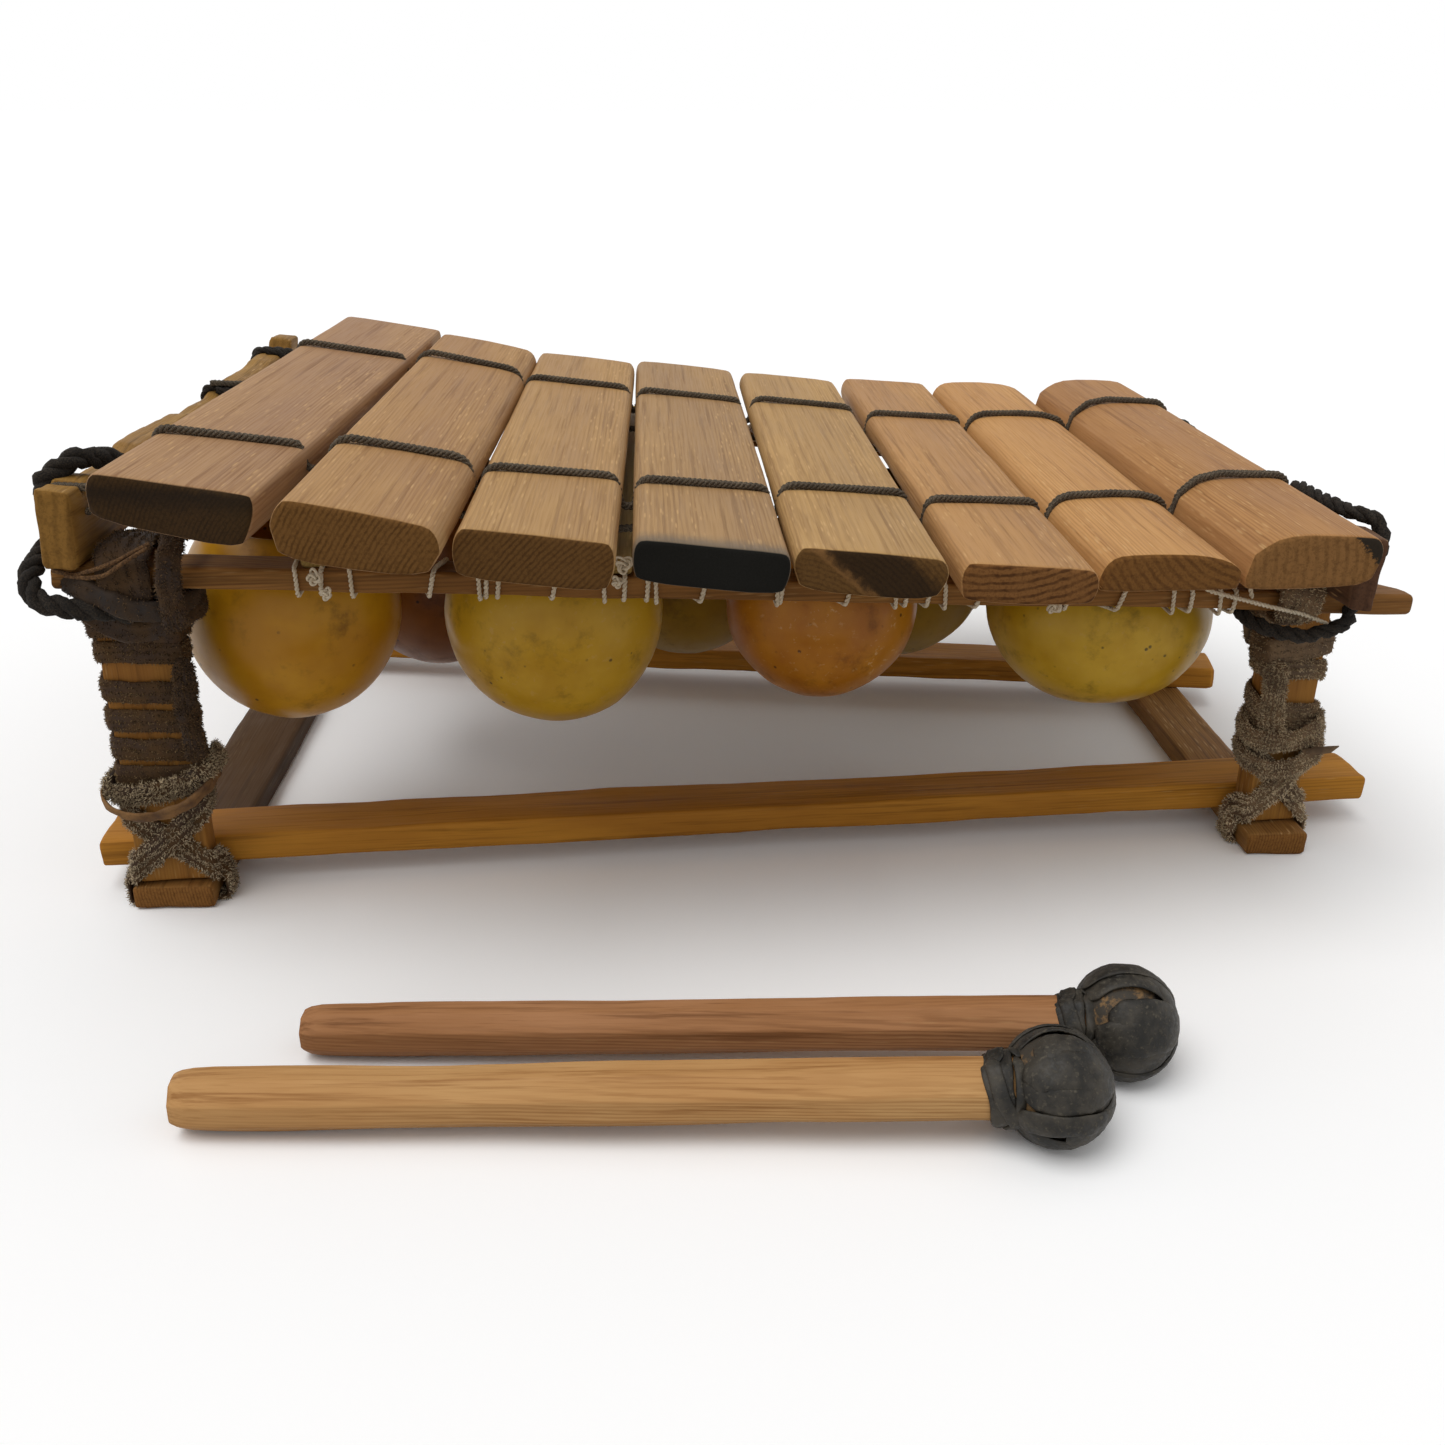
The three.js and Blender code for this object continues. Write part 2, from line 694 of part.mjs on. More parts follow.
function wrapStations(end) {
  const turn = wrapTurn(end.legWidth / 2 + strapSeat);
  const foot = footLashTop + wrapStripWidth / 2 + wrapClearance;
  const top = railLevels(end).low - cornerLashDrop - wrapStripWidth / 2 - wrapClearance;
  const count = Math.floor((top - foot) / wrapPitch * turn.length);
  return Array.from({ length: count + 1 }, (_, step) => {
    const [[x, y], [outX, outY]] = turn[step % turn.length];
    return [[x, y, foot + step / turn.length * wrapPitch], [outX, outY, 0], [0, 0, -1]];
  });
}

// The strip at a foot goes under the foot rail, crosses on the leg's front and passes behind the leg
function footLashing({ legWidth }) {
  const half = legWidth / 2 + strapSeat;
  const skew = Math.abs(Math.tan(rearSplay)) * (legDepth + footStripWidth) / 2;
  const side = (legWidth + footRailSpare) / 2 / Math.cos(rearSplay) + skew + strapSeat;
  const middle = -legDepth / 2;
  const floor = seatGap + strapHalf;
  const bend = 2 * strapHalf;
  const top = footRailThickness + bend;
  const low = footRailThickness + footStripWidth * 0.85;
  const high = low + footCrossHeight;
  const back = footLashTop - footStripWidth / 2;
  const near = half - bend;
  const over = wrapOuter - hideThickness - seatGap;
  const up = [
    [[strapHalf, middle, floor], [0, 0, -1], [0, 1, 0]], [[side, middle, floor], [1, 0, -1], [0, 1, 0]],
    [[side, middle, top], [1, 0, 0], [0, 1, 0]],
    [[half + strapHalf, middle - bend, (top + low) / 2 + bend], [1, 0, 0], [0, 0.7, 0.7]],
    [[half, wrapOuter, low], [1, -1, 0], [0, 0, 1.1]],
    [[near, wrapOuter, low + bend], [0, -1, 0], [0, 0, 1.2]],
    [[-near, wrapOuter, high - bend], [0, -1, 0], [0, 0, 1.2]],
    [[-half, wrapOuter, high], [-1, -1, 0], [0, 0, 1.1]],
    [[-half, middle, back], [-1, 0, 0], [0, 0, 1]], [[-half, strapSeat, back], [-1, 1, 0], [0, 0, 1]],
    [[0, strapSeat, back], [0, 1, 0], [0, 0, 1]],
  ];
  const mirror = ([x, y, z]) => [-x, y, z];
  const down = up.toReversed().slice(1).map((station) => station.map(mirror));
  const crossing = down.findIndex(([place]) => place[0] === near);
  const cross = (share, y) => {
    const height = THREE.MathUtils.lerp(high - bend, low + bend, share);
    return [[THREE.MathUtils.lerp(near, -near, share), y, height], [0, -1, 0], [0, 0, 1.2]];
  };
  const hop = [cross(0.14, wrapOuter), cross(0.26, over), cross(0.74, over), cross(0.86, wrapOuter)];
  return [...up, ...down.slice(0, crossing + 1), ...hop, ...down.slice(crossing + 1)];
}

// The strip at the top of a leg goes over the rail, once round the leg and up its back again
function cornerLashing(name, end) {
  const { low, high } = railLevels(end);
  const inward = -end.way * sides[name].way;
  const lean = Math.tan(sides[name].splay);
  const half = end.legWidth / 2 + strapSeat;
  const face = -outerReach - strapSeat;
  const ropeEdge = end.way * (end.leg - end.board) + end.face + 2 * seatGap + ropeDiameter;
  const lane = ropeEdge + cornerStripClearance + cornerStripWidth / 2;
  const laneToLeg = (lane + half + strapSeat) / 2;
  const tail = Math.min(lane, (end.legWidth - cornerStripWidth) / 2);
  const top = high + strapSeat;
  const under = low - strapSeat;
  const back = 2 * strapSeat + hideThickness;
  const drop = (share) => low - cornerLashDrop * share;
  const slant = new THREE.Vector2(tail - lane, -cornerLashDrop).normalize();
  const onLane = (y, z, ...out) => [[lane + inward * lean * y, y, z], [0, ...out], [-1, 0, 0]];
  const behind = (share) =>
    [[lane + (tail - lane) * share, back, drop(share)], [0, 1, 0], [slant.y, 0, -slant.x]];
  const round = (x, y, share, out) => [[x, y, drop(share)], [...out, 0], [0, 0, -1]];
  const stations = [
    behind(1), behind(0.25), onLane(strapSeat, low, 1, 0),
    onLane(strapSeat, top, 1, 1), onLane(-legDepth / 2, top, 0, 1), onLane(face, top, -1, 1),
    onLane(face, under, -1, -1), onLane(face + topRailWidth / 3, under, 0, -1),
    [[laneToLeg, wrapOuter - cornerStripWidth / 2, drop(0.14)], [0.5, 0, -1], [-0.9, 0, -0.4]],
    [[half + cornerStripWidth / 3, -legDepth, drop(0.28)], [1, 0, -1], [-0.7, 0, -0.7]],
    round(half, -legDepth / 2, 0.36, [1, 0]), round(half, strapSeat, 0.4, [1, 1]),
    round(-half, strapSeat, 0.55, [-1, 1]), round(-half, -legDepth / 2, 0.6, [-1, 0]),
    round(-half, wrapOuter, 0.65, [-1, -1]), round(half, wrapOuter, 0.8, [1, -1]),
    round(half, -legDepth / 2, 0.83, [1, 0]), round(half, strapSeat, 0.85, [1, 1]),
    round(lane - half, strapSeat, 0.85, [0, 1]),
  ];
  const mirror = ([x, y, z]) => [x * inward, y, z];
  return stations.map(([middle, out, [x, y, z]]) => [mirror(middle), mirror(out), [x, y * inward, z * inward]]);
}

function makeLegs() {
  for (const name of sideNames) {
    for (const [side, end] of Object.entries(ends)) {
      const corner = cornerGroup(name, end.leg);
      const wrap = wrapStations(end);
      piece(corner, `leg_${name}_${side}`, legGeometry(end), 0x8a5a2e, 0.65);
      piece(corner, `leg_wrap_${name}_${side}`, strap(wrap, wrapStripWidth), 0x5b4a38, 0.95);
      piece(corner, `foot_lashing_${name}_${side}`, strap(footLashing(end), footStripWidth), 0x6a5a48, 0.95);
      const lashing = strap(cornerLashing(name, end), cornerStripWidth);
      piece(corner, `corner_lashing_${name}_${side}`, lashing, 0x4a3a2c, 0.95);
      printLeastGap(`leg_wrap_${name}_${side}`, wrap.map(([at]) => at), turnSteps, wrapStripWidth);
    }
  }
}

// Sticks lie across the top rails at every second gap between keys
const stickPlaces = keyPlaces.filter((_, key) => key % 2 === 0).map((place) => place + keyPitch / 2);

function makeSticks() {
  stickPlaces.forEach((place, stick) => {
    const front = railLine('front', place) - outerReach + stickEndInset;
    const rear = railLine('rear', place) + outerReach - stickEndInset;
    const geometry = bar(rear - front, stickWidth, stickHeight).rotateZ(upright);
    piece(bed, `gourd_stick_${stick + 1}`, geometry, 0xc2a165, 0.7)
      .position.set(place, (front + rear) / 2, railTop + seatGap);
  });
}

// Gourds, in two rows. Each is a shell whose cut rim lies against the underside of a stick.
function gourdGeometry(radius, height) {
  const rim = radius * gourdRimShare;
  const rise = Math.sqrt(1 - gourdRimShare ** 2);
  const belly = height / (1 + rise);
  const rimAngle = upright + Math.acos(gourdRimShare);
  const arc = (across, up, steps) => Array.from({ length: steps + 1 }, (_, step) => {
    const angle = rimAngle * step / steps;
    return new THREE.Vector2(across * Math.sin(angle), -up * Math.cos(angle) - belly * rise);
  });
  const outer = arc(radius, belly, 8);
  const inner = arc(radius - gourdWall, belly - gourdWall, 6);
  outer[0].x = 0;
  inner[0].x = 0;
  inner[inner.length - 1].set(rim - gourdWall, 0);
  outer[outer.length - 1].set(rim, 0);
  return new THREE.LatheGeometry([...outer, ...inner.toReversed()], gourdSegments).rotateX(upright);
}

function gourdPlace(gourd) {
  const x = keyPlaces[gourd] + keyPitch * gourdShiftShares[gourd];
  const row = gourd % 2 === 0 ? -1 : 1;
  return [x, gourdRowAtMiddle + gourdRowSlope * x + row * gourdRowStep / 2, railTop];
}

function makeGourds() {
  const colors = [0xa8822a, 0xa5802c, 0xb98f2a, 0xb08a2c, 0xa86a26, 0xa98a30, 0xb79a34, 0xa8862e];
  colors.forEach((color, gourd) => {
    const radius = gourdRadius * gourdRadiusShares[gourd];
    const height = gourdHeight * gourdHeightShares[gourd];
    piece(bed, `gourd_${gourd + 1}`, gourdGeometry(radius, height), color, 0.3).position.set(...gourdPlace(gourd));
  });
}

// Twine along the inner face of a top rail, wound round the rail beside each stick and halfway between
function twinePoints(name) {
  const seat = seatGap + twineDiameter / 2;
  const inner = -legDepth - railGap + seat;
  const outer = -outerReach - seat;
  const top = railTop + seat;
  const middle = railTop / 2;
  const beside = stickWidth / 2 + twineStickClearance;
  const halfStep = (stickPlaces[1] - stickPlaces[0]) / 2;
  const places = stickPlaces.flatMap((place, stick) => {
    const turns = [place - beside, place + beside];
    return stick < stickPlaces.length - 1 ? [...turns, place + halfStep] : turns;
  });
  const along = places.map((place) => alongSide(name, place)).sort((one, other) => one - other);
  const turn = [
    [0, inner, middle], [0.1, inner, top - seat], [0.15, inner - seat, top], [0.35, outer + seat, top],
    [0.45, outer, top - seat], [0.65, outer, 0], [0.7, outer + seat, -seat], [0.9, inner - seat, -seat],
    [0.95, inner, 0], [1, inner, middle],
  ];
  return along.flatMap((place) => turn.map(([share, y, z]) => [place + twineAdvance * share, y, z]));
}

function makeTwine() {
  for (const name of sideNames) {
    const points = twinePoints(name);
    piece(sideGroup(bed, name), `rail_twine_${name}`, tube(points, twineDiameter, twineSides), 0xd8ccb0, 0.9);
    printLeastGap(`rail_twine_${name}`, points, 9, twineDiameter);
  }
}

// Beaters lie on the floor in front, on the butt and the head
function beaterParts(index) {
  const stickRadius = stickDiameters[index] / 2;
  const headMiddle = beaterLength - beaterHeadLength / 2;
  const bore = (stickRadius + seatGap) / Math.cos(halfTurn / beaterHeadSegments);
  const headHalf = beaterHeadLength / 2;
  const mouth = Math.asin(bore / beaterHeadRadius);
  const steps = 8;
  const ball = Array.from({ length: steps + 1 }, (_, step) => {
    const angle = (halfTurn - mouth) * step / steps;
    return new THREE.Vector2(beaterHeadRadius * Math.sin(angle), headMiddle + headHalf * Math.cos(angle));
  });
  ball[0].x = 0;
  const stickEnd = headMiddle + headHalf * 0.4;
  const back = ball[steps].y;
  const boreEnd = stickEnd + seatGap;
  const head = [...ball, new THREE.Vector2(bore, boreEnd), new THREE.Vector2(0, boreEnd)];
  const ease = new THREE.Vector2(stickRadius - beaterButtEase / 2, 0);
  const stick = [new THREE.Vector2(0, 0), ease, new THREE.Vector2(stickRadius, beaterButtEase),
    new THREE.Vector2(stickRadius, stickEnd), new THREE.Vector2(0, stickEnd)];
  const neck = [
    [bore, back - seatGap - beaterNeckWidth], [bore + beaterNeckThickness, back - seatGap - beaterNeckWidth],
    [bore + beaterNeckThickness, back - seatGap], [bore, back - seatGap],
    [bore, back - seatGap - beaterNeckWidth],
  ].map(([x, y]) => new THREE.Vector2(x, y));
  return { stick, head: head.toReversed(), neck };
}

function makeBeater(index) {
  const { stick, head, neck } = beaterParts(index);
  const lying = new THREE.Group();
  const group = new THREE.Group();
  const name = `beater_${index + 1}`;
  const spin = (profile, facets) =>
    new THREE.LatheGeometry(profile, facets, halfTurn / facets).rotateZ(-upright);
  piece(lying, `${name}_stick`, spin(stick, beaterFacets), index ? 0x8a5038 : 0xb98f58, 0.55);
  piece(lying, `${name}_head`, spin(head, beaterHeadSegments), 0x33322f, 0.7);
  piece(lying, `${name}_neck`, spin(neck, beaterFacets * 2), 0x2c2b29, 0.7);
  lying.rotation.y = -Math.asin((beaterHeadRadius - stickDiameters[index] / 2) / beaterLength);
  group.rotation.z = THREE.MathUtils.degToRad(beaterTurns[index]);
  group.add(lying);
  group.position.set(...beaterButts[index], 0);
  group.position.z = -new THREE.Box3().setFromObject(group, true).min.z;
  object.add(group);
}

makeRails();
makeFootRails();
makeLegs();
makeBoards();
makeSticks();
makeGourds();
makeTwine();
makeKeys();
makeCords();
makeRopes();
makeBeater(0);
makeBeater(1);

// The origin is on the floor, under the middle of the whole
const box = new THREE.Box3().setFromObject(object, true);
const middle = box.getCenter(new THREE.Vector3());
object.position.set(-middle.x, -middle.y, -box.min.z);

export default object;
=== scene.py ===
# A small balafon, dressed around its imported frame: keys, gourds, bound frame and two beaters.
# Metres throughout, with X along the row of keys, Y along each key and Z up.
import random
import bmesh
import bpy
from math import atan2, ceil, copysign, cos, degrees, hypot, pi, radians, sin, sqrt, tan
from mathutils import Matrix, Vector, noise
from mathutils.bvhtree import BVHTree


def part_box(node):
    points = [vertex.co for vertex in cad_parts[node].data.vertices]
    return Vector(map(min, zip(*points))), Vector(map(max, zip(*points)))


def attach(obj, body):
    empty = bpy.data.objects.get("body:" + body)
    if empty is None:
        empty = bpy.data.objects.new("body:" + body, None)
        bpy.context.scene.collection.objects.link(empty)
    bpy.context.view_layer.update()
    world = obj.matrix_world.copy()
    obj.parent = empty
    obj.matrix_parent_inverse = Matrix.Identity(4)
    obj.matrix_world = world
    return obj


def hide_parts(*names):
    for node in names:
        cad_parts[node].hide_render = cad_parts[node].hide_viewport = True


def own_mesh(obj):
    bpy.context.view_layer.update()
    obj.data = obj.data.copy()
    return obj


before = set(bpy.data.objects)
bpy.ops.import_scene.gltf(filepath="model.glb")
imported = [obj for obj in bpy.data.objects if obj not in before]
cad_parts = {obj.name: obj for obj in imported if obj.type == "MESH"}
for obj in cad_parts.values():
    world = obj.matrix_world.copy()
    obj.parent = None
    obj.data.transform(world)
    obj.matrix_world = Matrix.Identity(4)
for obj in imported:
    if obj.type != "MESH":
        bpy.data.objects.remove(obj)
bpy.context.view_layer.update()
mm = 0.001
noise.seed_set(7)  # or else noise_vector takes its seed from the clock
upwards = Vector((0, 0, 1))
floorGap = 0.0001  # nothing reaches lower than this
railFall = 0.0592  # how far the rails fall for each metre to the right
splays = {"front": radians(3.9), "rear": radians(-8.7)}  # how the rails are turned
print("frame loaded:", len(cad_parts), "solids")


def feed(tree, node, inputs):
    # a socket is linked, and anything else is the input's own value
    for name, value in inputs.items():
        if isinstance(value, bpy.types.NodeSocket):
            tree.links.new(value, node.inputs[name])
        else:
            node.inputs[name].default_value = value


def addNode(tree, kind, inputs=None, **settings):
    node = tree.nodes.new("ShaderNode" + kind)
    for name, value in settings.items():
        setattr(node, name, value)
    feed(tree, node, inputs or {})
    return node


def combine(tree, first, second, operation="MULTIPLY"):
    return addNode(tree, "Math", {0: first, 1: second}, operation=operation).outputs[0]


def plus(tree, first, second, share):
    inputs = {0: second, 1: share, 2: first}
    return addNode(tree, "Math", inputs, operation="MULTIPLY_ADD").outputs[0]


def mixColors(tree, amount, low, high):
    return addNode(tree, "Mix", {0: amount, 6: low, 7: high}, data_type="RGBA").outputs[2]


def tint(tree, color, tone, mask, strength):
    return mixColors(tree, combine(tree, mask, strength), color, tone)


def between(tree, value, low, high, least=0.0, most=1.0):
    # a soft step from one value to another
    inputs = {"Value": value, "From Min": low, "From Max": high, "To Min": least, "To Max": most}
    return addNode(tree, "MapRange", inputs, interpolation_type="SMOOTHSTEP").outputs[0]


def spots(tree, place, scale, detail=2.0, rough=0.5):
    inputs = {"Vector": place, "Scale": scale, "Detail": detail, "Roughness": rough}
    return addNode(tree, "TexNoise", inputs).outputs["Fac"]


def paint(code):
    # "#rrggbb" as the eye sees it, to the linear values that a shader takes
    parts = [int(code[place:place + 2], 16) / 255 for place in (1, 3, 5)]
    return (*[part / 12.92 if part <= 0.04045 else ((part + 0.055) / 1.055) ** 2.4
              for part in parts], 1)


def paints(codes):
    return [paint(code) for code in codes.split()]


def newMaterial(name):
    material = bpy.data.materials.new(name)
    material.use_nodes = True
    return material, material.node_tree, material.node_tree.nodes["Principled BSDF"]


def finishShader(tree, shader, color, rough, shine, height=None, strength=0.5, depth=0.0005):
    # the height is felt as a bump of that strength, and of that depth in metres
    inputs = {"Base Color": color, "Roughness": rough, "Specular IOR Level": shine}
    if height is not None:
        bump = {"Height": height, "Strength": strength, "Distance": depth}
        inputs["Normal"] = addNode(tree, "Bump", bump).outputs[0]
    feed(tree, shader, inputs)


camera = {
    "place": (-0.0383, -0.5753, 0.290),
    "down": radians(23.40),  # tilt below the horizon
    "right": radians(2.63),  # turn away from +Y
    "lens": 36.12,
    "sensor": 36.0,
}


def makeCamera():
    data = bpy.data.cameras.new("camera")
    data.lens, data.sensor_width, data.sensor_fit = camera["lens"], camera["sensor"], "HORIZONTAL"
    data.clip_start = 0.01
    seat = bpy.data.objects.new("camera", data)
    seat.location = camera["place"]
    seat.rotation_euler = (pi / 2 - camera["down"], 0, -camera["right"])
    bpy.context.scene.collection.objects.link(seat)
    bpy.context.scene.camera = seat


makeCamera()

lights = {
    "world": 0.6,
    "sun": {"aim": (0.35, 0.22, -1.0), "strength": 1.3, "softness": radians(45)},
    "floorSize": 60.0,
    "floorSeen": (1.05, 1.05, 1.05, 1),
    "floorBounce": (0.6, 0.59, 0.57, 1),
}


def seenDirectly(tree):
    # 1 for rays from the eye, and for those that reflect or pass on what is behind
    path = addNode(tree, "LightPath").outputs
    seen = path["Is Camera Ray"]
    for other in ("Is Glossy Ray", "Is Transmission Ray"):
        seen = combine(tree, seen, path[other], "MAXIMUM")
    return seen


def makeStudio():
    world = bpy.data.worlds.new("studio")
    bpy.context.scene.world = world
    world.use_nodes = True
    tree = world.node_tree
    levels = {"Value": seenDirectly(tree), "To Min": lights["world"], "To Max": 1.0}
    level = addNode(tree, "MapRange", levels).outputs[0]
    feed(tree, tree.nodes["Background"], {"Strength": level, "Color": (1, 1, 1, 1)})
    data = bpy.data.lights.new("sun", "SUN")
    data.energy, data.angle = lights["sun"]["strength"], lights["sun"]["softness"]
    sun = newObject("sun", data)
    sun.rotation_euler = Vector(lights["sun"]["aim"]).to_track_quat("-Z", "Y").to_euler()
    shape = bmesh.new()
    bmesh.ops.create_grid(shape, x_segments=1, y_segments=1, size=lights["floorSize"] / 2)
    floor = shapeToObject(shape, "floor")
    paper, tree, shader = newMaterial("paper")
    tone = mixColors(tree, seenDirectly(tree), lights["floorBounce"], lights["floorSeen"])
    finishShader(tree, shader, tone, 1.0, 0.0)
    floor.data.materials.append(paper)


def newObject(name, data):
    piece = bpy.data.objects.new(name, data)
    bpy.context.scene.collection.objects.link(piece)
    return piece


def shapeToObject(shape, name):
    mesh = bpy.data.meshes.new(name)
    shape.to_mesh(mesh)
    shape.free()
    return newObject(name, mesh)


makeStudio()
bpy.context.scene.view_settings.view_transform = "Standard"
print("studio made")

grainTurns = {"X": (0, 0, 0), "Y": (0, 0, -pi / 2), "Z": (0, pi / 2, 0)}
woodGrain = {
    "patches": 30, "patchDepth": 0.85,  # broad changes of tone
    "bands": 260, "bandDepth": 0.3,  # growth rings, seen as long bands on the sides
    "hairs": 420, "hairDepth": 0.5,  # fine lines along the grain
    "fibres": 1500, "fibreDepth": 0.3,
    "dashes": 620, "dashDepth": 0.5, "dashTone": "#cfa873",  # short pale flecks
    "pith": (0.021, -0.034),  # the middle of the growth rings, across the grain
    "endRings": 260, "endDepth": 0.5, "endTones": None,
    "gloss": 0.5, "shine": 0.12,
}


def woodMaterial(name, tones, axis="Y", centre=(0, 0, 0), turn=0.0, marks=None, **changes):
    # the grain runs along X of the mapped place, whichever way the piece lies
    grain = {**woodGrain, **changes}
    material, tree, shader = newMaterial(name)
    mapped = {"Vector": addNode(tree, "TexCoord").outputs["Object"], "Location": centre,
              "Rotation": (*grainTurns[axis][:2], grainTurns[axis][2] + turn)}
    placed = addNode(tree, "Mapping", mapped, vector_type="TEXTURE").outputs[0]

    def stretched(share):
        return addNode(tree, "Mapping", {"Vector": placed, "Scale": (share, 1, 1)}).outputs[0]

    def ringsAt(place, scale, warp):
        pith = {0: place, 1: (0, *grain["pith"])}
        inputs = {"Vector": addNode(tree, "VectorMath", pith, operation="ADD").outputs[0],
                  "Scale": scale, "Distortion": warp,
                  "Detail": 3, "Detail Scale": 1.6, "Detail Roughness": 0.6}
        waves = addNode(tree, "TexWave", inputs, wave_type="RINGS", rings_direction="X")
        return waves.outputs["Fac"]

    dark, middle, light = paints(tones)
    patchy = spots(tree, stretched(0.22), grain["patches"], 4, 0.6)
    warp = spots(tree, stretched(0.06), 55, 3)
    bands = ringsAt(stretched(0.05), grain["bands"], 5)
    hairs = spots(tree, stretched(0.025), grain["hairs"], 4, 0.65)
    fibres = spots(tree, stretched(0.02), grain["fibres"], 2, 0.6)
    cells = {"Vector": stretched(0.11), "Scale": grain["dashes"], "Randomness": 1}
    cells = addNode(tree, "TexVoronoi", cells).outputs["Distance"]
    rings = combine(tree, between(tree, bands, 0.3, 1), between(tree, warp, 0.35, 0.65))
    dashes = combine(tree, between(tree, cells, 0.3, 0.1), between(tree, warp, 0.42, 0.6))
    color = tint(tree, middle, light, between(tree, patchy, 0.3, 0.72), grain["patchDepth"])
    color = tint(tree, color, dark, rings, grain["bandDepth"])
    color = tint(tree, color, dark, between(tree, hairs, 0.5, 0.7), grain["hairDepth"])
    color = tint(tree, color, paint(grain["dashTone"]), dashes, grain["dashDepth"])
    color = tint(tree, color, dark, between(tree, fibres, 0.5, 0.8), grain["fibreDepth"])
    # the end faces: darker, ringed end grain; where end tones are given, as for the keys, they also
    # hold painted shade of the end faces
    normal = addNode(tree, "NewGeometry").outputs["Normal"]
    along = addNode(tree, "SeparateXYZ", {0: normal}).outputs["XYZ".index(axis)]
    ends = between(tree, combine(tree, along, 0, "ABSOLUTE"), 0.45, 0.72)
    endDark, endLight = paints(grain["endTones"]) if grain["endTones"] else (dark, middle)
    faded = between(tree, spots(tree, placed, 160, 4, 0.7), 0.3, 0.65, 0.3, 1)
    growth = between(tree, ringsAt(placed, grain["endRings"], 2.5), 0.4, 0.95)
    pitted = spots(tree, placed, 900, 4, 0.75)
    endTone = tint(tree, endLight, endDark, combine(tree, growth, faded), grain["endDepth"])
    endTone = tint(tree, endTone, endDark, between(tree, pitted, 0.46, 0.62), 0.35)
    color = mixColors(tree, ends, color, endTone)
    if marks:
        color = marks(tree, placed, color, ends)
    worn = combine(tree, fibres, patchy, "ADD")
    rough = between(tree, worn, 0.6, 1.4, grain["gloss"], grain["gloss"] + 0.22)
    height = plus(tree, combine(tree, fibres, 0.6), hairs, 0.7)
    height = plus(tree, height, combine(tree, pitted, ends), 0.8)
    finishShader(tree, shader, color, plus(tree, rough, ends, 0.25), grain["shine"],
                 height, 0.4, 0.0003)
    return material


def mottledMaterial(name, tones, base, over=None, rough=0.7, shine=0.3, bump=()):
    # base and over are noises: scale, detail, roughness and the values that they step between.
    # Base leads from the first tone to the second, and over lays on the third one, or the first
    # again, by its last number. A rough tuple is which noise, its step and what it leads to.
    # Bump is a strength, a depth and how much of over is added to base.
    material, tree, shader = newMaterial(name)
    where = addNode(tree, "TexCoord").outputs["Object"]
    colors = paints(tones)
    fields = [spots(tree, where, *looks[:3]) for looks in (base, over) if looks]
    color = mixColors(tree, between(tree, fields[0], *base[3:]), *colors[:2])
    if over:
        mask = between(tree, fields[1], *over[3:5])
        color = tint(tree, color, colors[2 % len(colors)], mask, over[5])
    if isinstance(rough, tuple):
        rough = between(tree, fields[rough[0]], *rough[1:])
    height = plus(tree, fields[0], fields[-1], bump[2]) if bump else None
    finishShader(tree, shader, color, rough, shine, height, *bump[:2])
    return material


def nodeShape(name):
    shape = bmesh.new()
    shape.from_mesh(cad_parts[name].data)
    bmesh.ops.remove_doubles(shape, verts=shape.verts, dist=1e-6)
    return shape


def nodeTree(*names):
    # what is wound round these nodes finds their outside here
    shape = bmesh.new()
    for name in names:
        shape.from_mesh(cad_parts[name].data)
    tree = BVHTree.FromBMesh(shape)
    shape.free()
    return tree


def finalMesh(piece):
    graph = bpy.context.evaluated_depsgraph_get()
    return bpy.data.meshes.new_from_object(piece.evaluated_get(graph))


def bake(piece, *modifiers):
    for kind, settings in modifiers:
        modifier = piece.modifiers.new(kind.lower(), kind)
        for name, value in settings.items():
            setattr(modifier, name, value)
    old, mesh = piece.data, finalMesh(piece)
    piece.modifiers.clear()
    piece.data = mesh
    mesh.name = piece.name
    bpy.data.meshes.remove(old)


def wobble(mesh, amount, scale, seed=0.0):
    # moves each point along its normal by smooth noise: scale is waves per metre on each axis
    moves = []
    for vert in mesh.vertices:
        place = Vector([vert.co[k] * scale[k] + seed for k in range(3)])
        moves.append(vert.normal * amount * noise.fractal(place, 0.8, 2.1, 3))
    for vert, move in zip(mesh.vertices, moves):
        vert.co += move


def finishPiece(piece, material, replaces=(), body="frame"):
    for vert in piece.data.vertices:
        vert.co.z = max(vert.co.z, floorGap)
    piece.data.materials.clear()
    piece.data.materials.append(material)
    for polygon in piece.data.polygons:
        polygon.use_smooth = True
    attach(piece, body)
    if replaces:
        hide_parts(*replaces)


def joinTriangles(shape, flatness):
    # into four-sided faces, where they are flatter together than an angle in degrees
    triangles = [face for face in shape.faces if len(face.verts) == 3]
    bmesh.ops.join_triangles(shape, faces=triangles, angle_face_threshold=radians(flatness),
                             angle_shape_threshold=pi)


